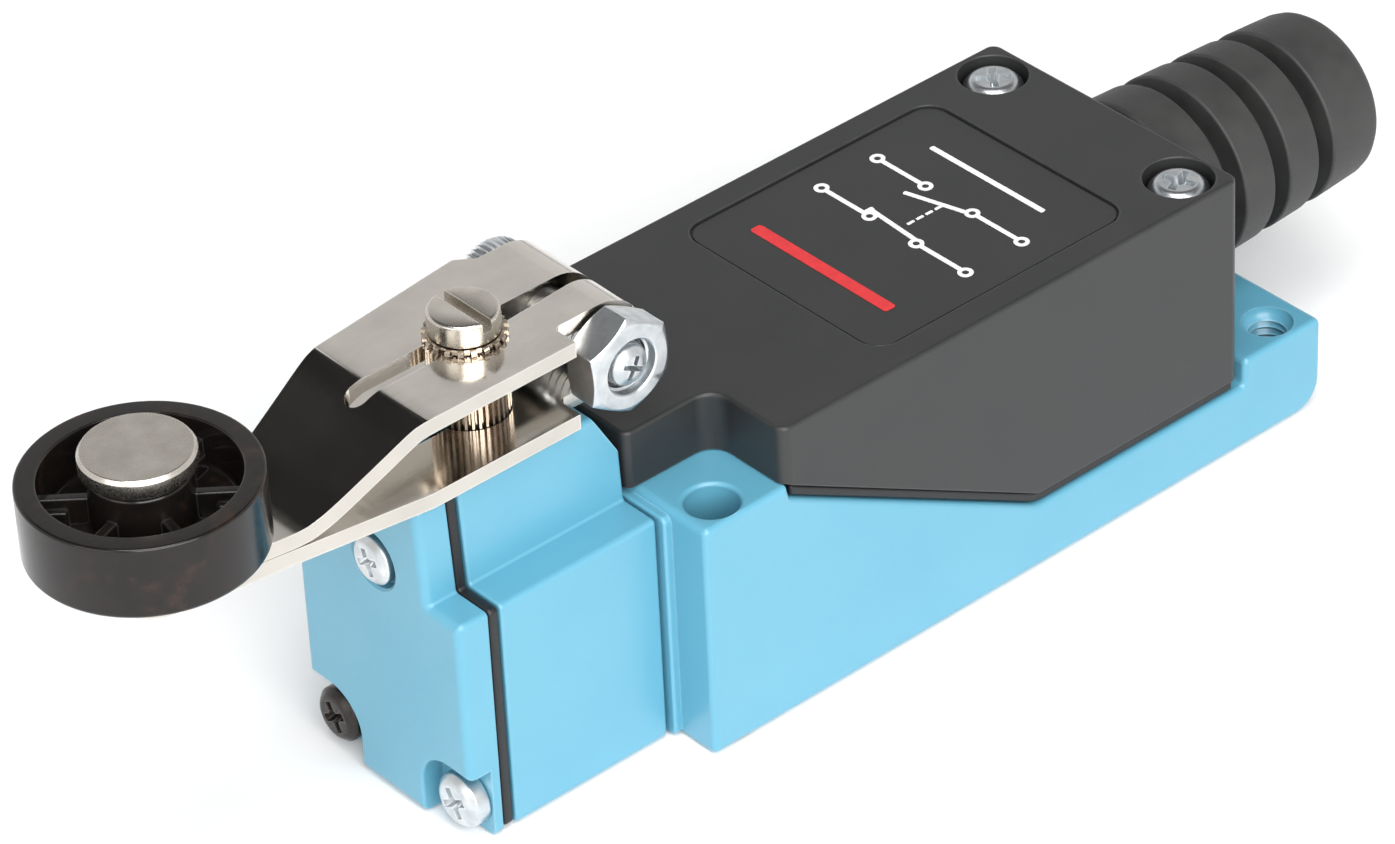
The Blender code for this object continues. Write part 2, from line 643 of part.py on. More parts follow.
def turn_round(screw, name, out):
    """Turns a screw and the cutters of its recess half round the Z axis."""
    screw.matrix_world = out @ screw.matrix_world
    for blade in cutters.objects:
        if blade.name.startswith(name + "_recess"):
            blade.matrix_world = out @ blade.matrix_world


def make_shaft(steel, bronze, rubber, zinc):
    low_z, high_z = CHAMBER_Z
    bush_top = HEAD_TOP_Z - HEAD_LIP - FIT
    bush_foot = high_z + 2 * FIT
    seal_floor = bush_top - SEAL_DEPTH
    bush_outline = [
        (BUSH_RADIUS, bush_top), (BUSH_RADIUS, bush_foot), (JOURNAL_RADIUS + FIT, bush_foot),
        (JOURNAL_RADIUS + FIT, seal_floor), (SHAFT_RADIUS + FIT, seal_floor + FIT),
        (SHAFT_RADIUS + FIT, bush_top),
    ]
    turned("shaft_bush", bush_outline, (SHAFT_X, 0, 0), "z", bronze, SMALL_STEPS, closed=True)
    seal_z = (bush_top + seal_floor) / 2
    seal_middle = (JOURNAL_RADIUS + SHAFT_RADIUS) / 2 + FIT
    seal = [(seal_middle + SEAL_SECTION * math.cos(turn), seal_z - SEAL_SECTION * math.sin(turn))
            for turn in (math.pi / 3 * step for step in range(6))]
    turned("shaft_seal", seal, (SHAFT_X, 0, 0), "z", rubber, SMALL_STEPS, closed=True)
    collar_z = HEAD_TOP_Z - 0.0002
    outline = [
        (0.0, LEVER_TOP_Z), (SHAFT_RADIUS - 0.0003, LEVER_TOP_Z), (SHAFT_RADIUS, LEVER_TOP_Z - 0.0003),
        (SHAFT_RADIUS, collar_z), (JOURNAL_RADIUS, collar_z - 0.0003), (JOURNAL_RADIUS, low_z - 0.0020),
        (0.0, low_z - 0.0020),
    ]
    shaft = turned("lever_shaft", outline, (SHAFT_X, 0, 0), "z", steel, STEPS)
    cut(shaft, rod("shaft_thread", 0.0016, LEVER_TOP_Z - 0.0070, LEVER_TOP_Z + 0.0010, (SHAFT_X, 0, 0), "z"))
    cam = prism("shaft_cam", cam_outline(), "xy", MECHANISM_Z, 0.0060, steel)
    cam.location.x = SHAFT_X
    cut(cam, rod("cam_bore", JOURNAL_RADIUS + FIT, 0.0, 0.0200, (SHAFT_X, 0, 0), "z"))
    washer_z = LEVER_TOP_Z + FIT
    washer = ring("lock_washer", 0.0034, 0.0018, washer_z, washer_z + 0.0006, (SHAFT_X, 0, 0), "z",
                  zinc, STEPS)
    head_z = washer_z + 0.0006 + FIT / 2
    screw_outline = [
        (0.0, head_z + 0.0015), (0.0026, head_z + 0.0015), (0.0029, head_z + 0.0012), (0.0029, head_z),
        (0.0014, head_z), (0.0014, LEVER_TOP_Z - 0.0060), (0.0, LEVER_TOP_Z - 0.0060),
    ]
    screw = turned("shaft_screw", screw_outline, (SHAFT_X, 0, 0), "z", steel, STEPS)
    cut(screw, box("driver_slot", (SHAFT_X - 0.0004, -0.0040, head_z + 0.0006),
                   (SHAFT_X + 0.0004, 0.0040, head_z + 0.0030)))
    return shaft, cam, washer, screw


def cam_outline():
    """A disc with two flats that face along X when the lever is at rest."""
    corner = math.degrees(math.acos(CAM_FLAT / CAM_RADIUS))
    upper = arc((0, 0), CAM_RADIUS, corner, 180 - corner, 8)
    lower = arc((0, 0), CAM_RADIUS, 180 + corner, 360 - corner, 8)
    return upper + lower


def lever_side():
    """The folded strap seen from the side: two leaves, a round fold at one end, a joggle at the other."""
    fold_z = (LEVER_TOP_Z + LEVER_BOTTOM_Z) / 2
    outer = (LEVER_TOP_Z - LEVER_BOTTOM_Z) / 2
    inner = outer - SHEET
    tip = ROLLER_X - LEVER_TIP_RADIUS - 0.0010
    joined_z = LEVER_BOTTOM_Z + 2 * SHEET
    ramp = [(LEVER_MEET_X - 0.0020, joined_z), (LEVER_MEET_X + 0.0010, joined_z + 0.0003)]
    ramp += [(LEVER_BEND_X - 0.0070, joined_z + 0.0014), (LEVER_BEND_X - 0.0030, LEVER_TOP_Z - 0.0016)]
    ramp += [(LEVER_BEND_X, LEVER_TOP_Z - 0.0002), (LEVER_BEND_X + 0.0015, LEVER_TOP_Z)]
    outline = [(tip, joined_z)] + ramp
    outline += arc((FOLD_X, fold_z), outer, 90, -90, 12)
    outline += [(tip, LEVER_BOTTOM_Z)]
    hollow = [(LEVER_MEET_X + 0.0020, LEVER_BOTTOM_Z + SHEET)]
    hollow += [(x + 0.0006, z - SHEET * 1.04) for x, z in ramp[2:]]
    hollow += arc((FOLD_X, fold_z), inner, 90, -90, 10)
    return outline, hollow


def make_lever(nickel):
    outline, hollow = lever_side()
    lever = prism("lever_arm", outline, "xz", 0.0, 2 * LEVER_HALF_WIDTH + 0.0040, nickel)
    cut(lever, prism("lever_hollow", hollow, "xz", 0.0, 2 * LEVER_HALF_WIDTH + 0.0080))
    right = FOLD_X + 0.0050
    half = LEVER_HALF_WIDTH
    lean = math.degrees(math.asin((half - LEVER_TIP_RADIUS) / (LEVER_BEND_X - ROLLER_X)))
    tip = arc((ROLLER_X, 0), LEVER_TIP_RADIUS, 90 + lean, 270 - lean, 14)
    far = [(right, LEVER_FAR_Y), (FLARE[0] + 0.0012, LEVER_FAR_Y), FLARE, (LEVER_BEND_X, half)]
    plan = far + tip + [(LEVER_BEND_X, -half), (right, -half)]
    trim(lever, prism("lever_plan", plan, "xy", 0.0320, 0.0200))
    soften(lever, 0.00015, 1, 60.0)
    half_slot = SLOT_WIDTH / 2
    slot = [(right, half_slot)] + arc((SLOT_END_X + half_slot, 0), half_slot, 90, 270, 8)
    slot += [(right, -half_slot)]
    notch = box("nut_notch", (NOTCH_START_X, -0.0100, 0.0260), (right + 0.0010, NOTCH_Y, 0.0400))
    cut(lever, prism("lever_slot", slot, "xy", 0.0320, 0.0200),
        rod("shaft_hole", SHAFT_RADIUS + FIT, 0.0260, 0.0400, (SHAFT_X, 0, 0), "z", steps=STEPS),
        rod("pin_hole", PIN_RADIUS + FIT, 0.0260, 0.0400, (ROLLER_X, 0, 0), "z"), notch)
    return lever


def make_clamp(zinc):
    """The clamp bolt runs along Y inside the fold, with its nut held in the notch of the strap."""
    z = (LEVER_TOP_Z + LEVER_BOTTOM_Z) / 2
    head_y = LEVER_FAR_Y + FIT
    crown_y = head_y + BOLT_HEAD_HEIGHT
    tip_y = NUT_OUTER_Y - 0.0002
    outline = [
        (0.0, crown_y), (BOLT_HEAD_RADIUS - 0.0009, crown_y), (BOLT_HEAD_RADIUS, crown_y - 0.0010),
        (BOLT_HEAD_RADIUS, head_y), (BOLT_RADIUS, head_y), (BOLT_RADIUS, tip_y + 0.0003),
        (BOLT_RADIUS - 0.0004, tip_y), (0.0, tip_y),
    ]
    bolt = turned("clamp_bolt", outline, (FOLD_X, 0, z), "y", zinc, STEPS)
    corner = NUT_FLATS / 2 / math.cos(math.pi / 6)
    hexagon = [(corner * math.cos(turn), corner * math.sin(turn))
               for turn in (math.pi / 2 + math.pi / 3 * step for step in range(6))]
    nut = prism("clamp_nut", hexagon, "xz", NUT_OUTER_Y + NUT_THICKNESS / 2, NUT_THICKNESS, zinc)
    nut.location.x = FOLD_X
    nut.location.z = z
    cut(nut, rod("nut_thread", BOLT_RADIUS + 0.00015, -0.0100, 0.0, (FOLD_X, 0, z), "y", steps=STEPS))
    return bolt, nut


def make_roller(resin, steel, zinc):
    floor = ROLLER_BOTTOM_Z + ROLLER_FLOOR
    rim = ROLLER_RADIUS
    inner = rim - ROLLER_RIM
    outline = [
        (rim - 0.0004, ROLLER_TOP_Z), (rim, ROLLER_TOP_Z - 0.0004), (rim, ROLLER_BOTTOM_Z + 0.0004),
        (rim - 0.0004, ROLLER_BOTTOM_Z), (ROLLER_BORE_RADIUS, ROLLER_BOTTOM_Z),
        (ROLLER_BORE_RADIUS, ROLLER_TOP_Z + 0.0004), (HUB_RADIUS, ROLLER_TOP_Z + 0.0004), (HUB_RADIUS, floor),
        (inner, floor), (inner, ROLLER_TOP_Z),
    ]
    roller = turned("roller", outline, (ROLLER_X, 0, 0), "z", resin, STEPS, closed=True)
    for index in range(RIB_COUNT):
        length = inner - HUB_RADIUS + 0.0006
        rib = box("roller_rib_%d" % index, (-length / 2, -RIB_THICKNESS / 2, floor - 0.0002),
                  (length / 2, RIB_THICKNESS / 2, ROLLER_TOP_Z - 0.0016))
        turn = Matrix.Rotation(2 * math.pi * index / RIB_COUNT + 0.35, 4, "Z")
        middle = Matrix.Translation(((inner + HUB_RADIUS) / 2, 0, rib.location.z))
        rib.matrix_world = Matrix.Translation((ROLLER_X, 0, 0)) @ turn @ middle
        join(roller, rib)
    head_z = ROLLER_TOP_Z + 0.0004 + FIT
    foot_z = LEVER_BOTTOM_Z - FIT
    pin_outline = [
        (0.0, PIN_TOP_Z), (PIN_HEAD_RADIUS - 0.0003, PIN_TOP_Z), (PIN_HEAD_RADIUS, PIN_TOP_Z - 0.0003),
        (PIN_HEAD_RADIUS, head_z), (PIN_RADIUS, head_z), (PIN_RADIUS, foot_z), (0.0031, foot_z),
        (0.0031, foot_z - 0.0004), (0.0022, foot_z - 0.0008), (0.0, foot_z - 0.0008),
    ]
    pin = turned("roller_pin", pin_outline, (ROLLER_X, 0, 0), "z", steel, STEPS)
    washer_z = LEVER_BOTTOM_Z + 2 * SHEET + FIT
    washer = ring("roller_washer", 0.0040, PIN_RADIUS + FIT, washer_z, ROLLER_BOTTOM_Z - FIT,
                  (ROLLER_X, 0, 0), "z", zinc)
    return roller, pin, washer


def make_gland(rubber, plastic):
    """A ribbed rubber gland, pushed through the cover's end wall and held by a flange on each side."""
    wall_in = COVER_END_X - COVER_WALL - FIT
    length = GLAND_TIP_X - GLAND_BASE_X
    slope = (GLAND_TIP_RADIUS - GLAND_BASE_RADIUS) / length

    def radius_at(x):
        return GLAND_BASE_RADIUS + slope * (x - GLAND_BASE_X)

    outside = [(GLAND_BORE_RADIUS, GLAND_TIP_X - 0.0008), (GLAND_BORE_RADIUS + 0.0008, GLAND_TIP_X)]
    outside += [(GLAND_TIP_RADIUS - 0.0014, GLAND_TIP_X), (GLAND_TIP_RADIUS - 0.0004, GLAND_TIP_X - 0.0004)]
    outside += [(GLAND_TIP_RADIUS, GLAND_TIP_X - 0.0014)]
    last_groove = GLAND_BASE_X + 0.0044 + GLAND_PITCH * (GLAND_GROOVES - 1)
    for index in range(GLAND_GROOVES):
        start = last_groove - GLAND_PITCH * index
        end = start + GLAND_GROOVE
        deep = radius_at(start) - GLAND_GROOVE_DEPTH
        lip = 0.0003
        outside += [(radius_at(end + lip), end + lip), (radius_at(end) - lip, end), (deep, end)]
        outside += [(deep, start), (radius_at(start) - lip, start), (radius_at(start - lip), start - lip)]
    outside += [(GLAND_BASE_RADIUS, GLAND_BASE_X + 0.0006), (GLAND_BASE_RADIUS - 0.0004, GLAND_BASE_X + FIT)]
    outside += [(GLAND_NECK_RADIUS, GLAND_BASE_X + FIT), (GLAND_NECK_RADIUS, wall_in)]
    outside += [(GLAND_NECK_RADIUS + 0.0014, wall_in), (GLAND_NECK_RADIUS + 0.0014, wall_in - 0.0016)]
    outside += [(GLAND_BORE_RADIUS, wall_in - 0.0016)]
    turned("cable_gland", outside, (0, 0, GLAND_Z), "x", rubber, STEPS, closed=True)
    ring("gland_washer", GLAND_NECK_RADIUS + 0.0010, GLAND_BORE_RADIUS + 0.0002, wall_in - 0.0030,
         wall_in - 0.0018, (0, 0, GLAND_Z), "x", plastic)


def make_follower(steel, rubber, spring_steel):
    """The follower disc, its push rod into the body, the seal between head and body, and the spring."""
    axis = (0, 0, MECHANISM_Z)
    disc_end = FOLLOWER_X + 0.0010
    rod_start = HEAD_END_X - 0.0012
    outline = [
        (0.0, rod_start), (ROD_RADIUS, rod_start), (ROD_RADIUS, disc_end), (FOLLOWER_RADIUS, disc_end),
        (FOLLOWER_RADIUS, FOLLOWER_X), (0.0, FOLLOWER_X),
    ]
    follower = turned("cam_follower", outline, axis, "x", steel, SMALL_STEPS)
    push_rod = rod("push_rod", ROD_RADIUS, rod_start + FIT, HEAD_END_X + 0.0128, axis, "x", steel)
    seal = [(0.0059 + 0.0004 * math.cos(turn), HEAD_END_X - 0.0003 - 0.0004 * math.sin(turn))
            for turn in (math.pi / 3 * step for step in range(6))]
    turned("head_seal", seal, axis, "x", rubber, SMALL_STEPS, closed=True)
    spring = coil("follower_spring", disc_end + FIT, SPRING_SHOULDER_X - FIT, FOLLOWER_SPRING_RADIUS,
                  FOLLOWER_SPRING_WIRE, 6, spring_steel)
    return follower, push_rod, spring


def coil(name, start, end, radius, wire, turns, metal):
    """A compression spring about the mechanism's axis."""
    per_turn = 10
    count = turns * per_turn
    length = end - start - 2 * wire
    curve = bpy.data.curves.new(name, "CURVE")
    curve.dimensions = "3D"
    curve.bevel_depth = wire
    curve.bevel_resolution = 0
    curve.use_fill_caps = True
    spline = curve.splines.new("POLY")
    spline.points.add(count)
    for index, point in enumerate(spline.points):
        turn = 2 * math.pi * index / per_turn
        x = wire + length * index / count
        point.co = (x, radius * math.cos(turn), radius * math.sin(turn), 1.0)
    made = bpy.data.objects.new(name, curve)
    made.location = (start, 0, MECHANISM_Z)
    curve.materials.append(metal)
    parts.objects.link(made)
    return made


def make_switch(resin, plastic, copper, brass, spring_steel):
    """The switch block in the body, its sliding contact carrier, bridges, terminals and screws."""
    block = box("switch_block", (BLOCK_START_X, -BLOCK_HALF_WIDTH, BODY_WALL + FIT),
                (BLOCK_END_X, BLOCK_HALF_WIDTH, BLOCK_TOP_Z), resin)
    soften(block, 0.0004, 1)
    channel = box("channel", (BLOCK_START_X - 0.0010, -CHANNEL_HALF_WIDTH, CHANNEL_FLOOR_Z),
                  (BLOCK_END_X - 0.0015, CHANNEL_HALF_WIDTH, BLOCK_TOP_Z + 0.0010))
    cut(block, channel)
    for index, x in enumerate(CONTACT_PLANES):
        cut(block, box("contact_slot_%d" % index, (x - 0.0020, -0.0072, CHANNEL_FLOOR_Z),
                       (x + CONTACT_TRAVEL + 0.0021, 0.0072, BLOCK_TOP_Z + 0.0010)))
        for mark, side in (("near", -1), ("far", 1)):
            place = (x + TERMINAL_SCREW_OFFSET, side * TERMINAL_Y, 0.0)
            cut(block, rod("terminal_way_%d_%s" % (index, mark), 0.0012, BLOCK_TOP_Z - 0.0020,
                           BLOCK_TOP_Z + 0.0010, place, "z"))
    for mark, side in (("a", -1), ("b", 1)):
        fixing = (BLOCK_END_X - 0.0030, side * 0.0063, 0.0)
        cut(block, rod("block_hole_" + mark, 0.0014, 0.0, BLOCK_TOP_Z + 0.0010, fixing, "z"))
        pan_screw("block_screw_" + mark, 0.0022, 0.0014, 0.0012, BLOCK_TOP_Z - 0.0030,
                  (fixing[0], fixing[1], BLOCK_TOP_Z + FIT), "z", 0.4, brass)
    carrier_start = HEAD_END_X + 0.0128 + FIT
    half = CHANNEL_HALF_WIDTH - FIT
    carrier = box("contact_carrier", (carrier_start, -half, CHANNEL_FLOOR_Z + FIT),
                  (CARRIER_END_X, half, BLOCK_TOP_Z - 0.0012), plastic)
    moving = [carrier]
    for index, x in enumerate(CONTACT_PLANES):
        reach = BRIDGE_HALF + BRIDGE_PLAY
        window_z = (BRIDGE_Z[0] - BRIDGE_PLAY, BRIDGE_Z[1] + BRIDGE_PLAY)
        cut(carrier, box("bridge_window_%d" % index, (x - reach, -0.0050, window_z[0]),
                         (x + reach, 0.0050, window_z[1])))
        bridge = box("contact_bridge_%d" % (index + 1), (x - BRIDGE_HALF, -BRIDGE_REACH, BRIDGE_Z[0]),
                     (x + BRIDGE_HALF, BRIDGE_REACH, BRIDGE_Z[1]), copper)
        moving.append(bridge)
        for mark, side in (("near", -1), ("far", 1)):
            name = "%d_%s" % (index + 1, mark)
            contact_x = x + BRIDGE_HALF + CONTACT_TRAVEL + 0.0004
            blade_y = sorted((side * 0.0032, side * BRIDGE_REACH))
            strip_y = sorted((side * 0.0032, side * (BLOCK_HALF_WIDTH - 0.0004)))
            terminal = box("terminal_" + name, (contact_x, strip_y[0], BLOCK_TOP_Z + FIT),
                           (contact_x + 0.0046, strip_y[1], BLOCK_TOP_Z + 0.0010), copper)
            join(terminal, box("blade_" + name, (contact_x, blade_y[0], 0.0098),
                               (contact_x + 0.0008, blade_y[1], BLOCK_TOP_Z + 0.0006)))
            screw_place = (x + TERMINAL_SCREW_OFFSET, side * TERMINAL_Y, BLOCK_TOP_Z + 0.0010 + FIT)
            cut(terminal, rod("terminal_hole_" + name, 0.0011, 0.0, 0.0300,
                              (screw_place[0], screw_place[1], 0), "z"))
            pan_screw("terminal_screw_" + name, 0.0019, 0.0014, 0.0009, 0.0018, screw_place, "z", 0.3, brass)
    spring = coil("carrier_spring", CARRIER_END_X + FIT, BLOCK_END_X - 0.0015 - FIT,
                  CARRIER_SPRING_RADIUS, CARRIER_SPRING_WIRE, 4, spring_steel)
    return moving, spring


def main():
    clear_scene()
    paint = material("blue_paint", (0.11, 0.47, 0.72), 0.38)
    plastic = material("black_plastic", (0.055, 0.057, 0.057), 0.5)
    rubber = material("black_rubber", (0.05, 0.05, 0.05), 0.7)
    ink = material("label_film", (0.05, 0.052, 0.052), 0.35)
    nickel = material("nickel_plate", (0.62, 0.58, 0.52), 0.28, 1.0)
    steel = material("turned_steel", (0.55, 0.52, 0.48), 0.3, 1.0)
    zinc = material("zinc_plate", (0.66, 0.69, 0.72), 0.3, 1.0)
    black = material("black_screw", (0.03, 0.03, 0.03), 0.35, 1.0)
    resin = material("roller_resin", (0.03, 0.027, 0.025), 0.25)
    bronze = material("bush_bronze", (0.55, 0.36, 0.18), 0.4, 1.0)
    brass = material("brass", (0.7, 0.5, 0.22), 0.35, 1.0)
    copper = material("contact_copper", (0.75, 0.42, 0.3), 0.35, 1.0)
    phenolic = material("phenolic", (0.09, 0.03, 0.02), 0.5)
    spring_steel = material("spring_steel", (0.4, 0.4, 0.42), 0.3, 1.0)

    make_body(paint)
    make_cover(plastic)
    make_label(ink)
    make_cover_gasket(rubber)
    make_cover_screws(zinc)
    make_head(paint)
    make_head_gasket(rubber)
    make_cap(paint)
    make_cap_screws(zinc, black)
    make_gland(rubber, plastic)
    lever = make_lever(nickel)
    bolt, nut = make_clamp(zinc)
    shaft, cam, washer, screw = make_shaft(steel, bronze, rubber, zinc)
    roller, pin, spacer = make_roller(resin, steel, zinc)
    follower, push_rod, spring = make_follower(steel, rubber, spring_steel)
    moving, carrier_spring = make_switch(phenolic, plastic, copper, brass, spring_steel)
    hold((SHAFT_X, 0, 0), "lever_axis", lever, bolt, nut, shaft, cam, washer, screw, pin, spacer)
    hold((ROLLER_X, 0, 0), "roller_axis", roller)
    hold((HEAD_END_X, 0, MECHANISM_Z), "follower_axis", follower, push_rod, spring)
    hold((BLOCK_START_X, 0, MECHANISM_Z), "carrier_axis", carrier_spring, *moving)


main()
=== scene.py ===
"""Finished looks for the roller-lever limit switch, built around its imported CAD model.

+X points from the roller towards the cable gland, +Z up out of the cover, and the back mounting face is
the plane Z = 0. Shapes are drawn in millimetres and scaled to metres when they are finished.
"""
import json
import math

import bmesh
import bpy
from mathutils import Matrix, Vector


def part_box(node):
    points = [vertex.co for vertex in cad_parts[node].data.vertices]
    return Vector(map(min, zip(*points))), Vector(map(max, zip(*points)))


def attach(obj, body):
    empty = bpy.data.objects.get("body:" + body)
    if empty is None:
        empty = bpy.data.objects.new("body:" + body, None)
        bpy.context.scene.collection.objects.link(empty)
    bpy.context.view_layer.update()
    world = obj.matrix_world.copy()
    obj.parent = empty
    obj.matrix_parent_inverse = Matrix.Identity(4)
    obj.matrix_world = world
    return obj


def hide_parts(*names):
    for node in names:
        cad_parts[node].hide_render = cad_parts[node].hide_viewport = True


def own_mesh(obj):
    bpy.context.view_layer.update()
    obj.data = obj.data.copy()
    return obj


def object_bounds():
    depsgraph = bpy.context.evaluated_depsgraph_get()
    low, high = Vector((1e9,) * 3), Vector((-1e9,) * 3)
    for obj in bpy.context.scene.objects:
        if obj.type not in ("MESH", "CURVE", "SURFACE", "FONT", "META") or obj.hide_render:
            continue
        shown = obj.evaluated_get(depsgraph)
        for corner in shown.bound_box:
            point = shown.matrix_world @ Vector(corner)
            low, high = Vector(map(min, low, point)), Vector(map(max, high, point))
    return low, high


MM = 0.001

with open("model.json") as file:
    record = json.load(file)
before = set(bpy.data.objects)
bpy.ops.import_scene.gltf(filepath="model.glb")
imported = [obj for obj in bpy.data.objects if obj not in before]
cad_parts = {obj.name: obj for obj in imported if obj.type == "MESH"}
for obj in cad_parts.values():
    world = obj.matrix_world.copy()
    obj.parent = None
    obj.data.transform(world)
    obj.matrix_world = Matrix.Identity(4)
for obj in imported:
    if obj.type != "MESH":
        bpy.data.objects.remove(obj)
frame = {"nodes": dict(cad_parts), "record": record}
cad_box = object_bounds()


def corners_of(node):
    """Lowest and highest corner of a CAD node, in millimetres."""
    low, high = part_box(node)
    return low / MM, high / MM


# --- places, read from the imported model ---
BODY_LOW, BODY_HIGH = corners_of("base_housing")
COVER_LOW, COVER_HIGH = corners_of("switch_cover")
HEAD_LOW, HEAD_HIGH = corners_of("head_housing")
GASKET_LOW, GASKET_HIGH = corners_of("head_gasket")
CAP_LOW, CAP_HIGH = corners_of("head_cap")
LABEL_LOW, LABEL_HIGH = corners_of("label_plate")
LEVER_LOW, LEVER_HIGH = corners_of("lever_arm")
NUT_LOW, NUT_HIGH = corners_of("clamp_nut")
BOLT_LOW, BOLT_HIGH = corners_of("clamp_bolt")
ROLLER_LOW, ROLLER_HIGH = corners_of("roller")
PIN_LOW, PIN_HIGH = corners_of("roller_pin")
GLAND_LOW, GLAND_HIGH = corners_of("cable_gland")
SHAFT_LOW, SHAFT_HIGH = corners_of("lever_shaft")
BUSH_LOW, BUSH_HIGH = corners_of("shaft_bush")
_, STAR_HIGH = corners_of("lock_washer")
SLOTTED_LOW, SLOTTED_HIGH = corners_of("shaft_screw")
SPACER_LOW, SPACER_HIGH = corners_of("roller_washer")
_, SEAL_HIGH = corners_of("cover_gasket")

SHAFT_X = (SHAFT_LOW.x + SHAFT_HIGH.x) / 2
ROLLER_X = (ROLLER_LOW.x + ROLLER_HIGH.x) / 2
FOLD_X = (NUT_LOW.x + NUT_HIGH.x) / 2
FOLD_Z = (NUT_LOW.z + NUT_HIGH.z) / 2
GLAND_Z = (GLAND_LOW.z + GLAND_HIGH.z) / 2

# --- body ---
PAD_DEPTH = 0.7
PAD_HALF_WIDTH = 9.9
HEAD_END_X = BODY_LOW.x + PAD_DEPTH
GLAND_END_X = BODY_HIGH.x
BODY_HALF_WIDTH = BODY_HIGH.y
EAR_TOP_Z = BODY_HIGH.z
SLOPE_TOP = (HEAD_END_X + 8.4, EAR_TOP_Z - 1.3)
SLOPE_FOOT_X = HEAD_END_X + 33.2
RIM_Z = 5.7
GLAND_EAR_X = GLAND_END_X - 8.5
GLAND_EAR_Z = 8.1
HEAD_EAR_HOLE = (HEAD_END_X + 3.0, 11.0)
GLAND_EAR_HOLE = (HEAD_END_X + 60.6, 11.0)
EAR_HOLE_RADIUS = 2.1
BODY_WALL = 2.0
THREAD_PITCH = 0.7
MECHANISM_Z = 11.0
CHAMBER_Z = 11.4

# --- cover ---
COVER_STEP_X = HEAD_END_X + 7.7
NECK_HALF_WIDTH = 5.95
COVER_WALL = 1.6
COVER_DRAFT = 0.25
COVER_LIFT = 1.2
COVER_SCREWS = (HEAD_END_X + 51.4, 10.25)
COUNTERBORE = (2.8, 2.6)
COVER_SCREW_HEAD = (2.4, 2.1)
LABEL_RADIUS = 2.0
LABEL_RECESS = 0.4

# --- head ---
HEAD_HALF_WIDTH = HEAD_HIGH.y
HEAD_TOP_HALF_WIDTH = 5.9
HEAD_TOP_DRAFT = 0.5
HEAD_STEP_Z = 20.1
HEAD_RAMP_Z = 24.1
HEAD_RAMP_LENGTH = 2.2
HEAD_TOP_Z = HEAD_HIGH.z
CAP_FLANGE = 0.9
CAP_SCREWS = (7.0, 2.7)
CAP_SCREW_HEAD = (2.25, 1.75)
CAP_TOP_SCREW_HEAD = (2.0, 1.4)
CAP_POCKET_RADIUS = 3.4
CAP_TOP_SCREW_Z = 21.3

# --- lever ---
SHEET = 1.3
LEVER_HALF_WIDTH = 6.3
LEVER_FAR_Y = 6.8
FLARE = (HEAD_END_X - 4.6, 7.9)
LEVER_TIP_RADIUS = 3.2
SERRATED_RADIUS = 3.0
SHAFT_HOLE_RADIUS = 3.08
SHAFT_BORE_RADIUS = 3.2
JOURNAL_RADIUS = 2.85
PIN_RADIUS = 2.1
PIN_HOLE_RADIUS = 2.2
SLOT_WIDTH = 2.0
SLOT_CLOSED = -0.1
SLOT_END_X = HEAD_END_X - 20.7
BEND_X = HEAD_END_X - 18.5
NOTCH_X = FOLD_X - 4.2
NOTCH_Y = NUT_HIGH.y + 0.2

# --- camera, aimed from the middle of the CAD box ---
AZIMUTH = 39.63
ELEVATION = 35.82
ROLL = -2.875
LENS = 158.0
DISTANCE = 0.4614
AIM_OFFSET = Vector((-0.0016, 0.0029, -0.0054))
LIGHT_DISTANCE = 0.9


# --- building blocks -------------------------------------------------------------------------------------

def object_of(name, form):
    bmesh.ops.recalc_face_normals(form, faces=form.faces)
    mesh = bpy.data.meshes.new(name)
    form.to_mesh(mesh)
    form.free()
    made = bpy.data.objects.new(name, mesh)
    bpy.context.scene.collection.objects.link(made)
    return made


def skin(name, form, rings):
    """A closed solid through rings of vertices, with a face over each end."""
    count = len(rings[0])
    for lower, upper in zip(rings, rings[1:]):
        for index in range(count):
            after = (index + 1) % count
            form.faces.new((lower[index], lower[after], upper[after], upper[index]))
    form.faces.new(rings[0])
    form.faces.new(rings[-1])
    return object_of(name, form)


def arc(here, before, after, bend, steps):
    """The points of a corner rounded by a bend, between the directions to its two neighbours."""
    half = before.angle(after) / 2
    centre = here + (before + after).normalized() * bend / math.sin(half)
    first = here + before * bend / math.tan(half) - centre
    last = here + after * bend / math.tan(half) - centre
    sweep = -first.angle_signed(last)
    return [centre + Matrix.Rotation(sweep * step / steps, 2) @ first for step in range(steps + 1)]


def flared(radius, rim, top, steps):
    """A hole's wall curving outwards into the surface at the top, as (radius, height) pairs."""
    turns = [math.pi / 2 * step / steps for step in range(steps + 1)]
    return [(radius + rim * (1 - math.cos(turn)), top - rim * (1 - math.sin(turn))) for turn in turns]


def offset_corners(corners, depth):
    """The corners of a counter-clockwise outline moved inwards by a depth."""
    moved = []
    count = len(corners)
    for index, corner in enumerate(corners):
        here = Vector(corner)
        arriving = (here - Vector(corners[index - 1])).normalized()
        leaving = (Vector(corners[(index + 1) % count]) - here).normalized()
        inward = Vector((-arriving.y, arriving.x))
        bisector = (inward + Vector((-leaving.y, leaving.x))).normalized()
        moved.append(here + bisector * depth / max(bisector.dot(inward), 0.3))
    return moved


def fillet(corners, radii, depth=0.0, steps=6):
    """An outline with rounded corners, moved inwards by a depth. A zero radius keeps its corner sharp."""
    least = 0.02
    result = []
    moved = offset_corners(corners, depth)
    count = len(moved)
    for index, (here, radius) in enumerate(zip(moved, radii)):
        if not radius:
            result.append(here)
            continue
        before = (moved[index - 1] - here).normalized()
        after = (moved[(index + 1) % count] - here).normalized()
        convex = before.cross(after) < 0
        bend = max(least, radius - depth if convex else radius + depth)
        result += arc(here, before, after, bend, steps)
    return result


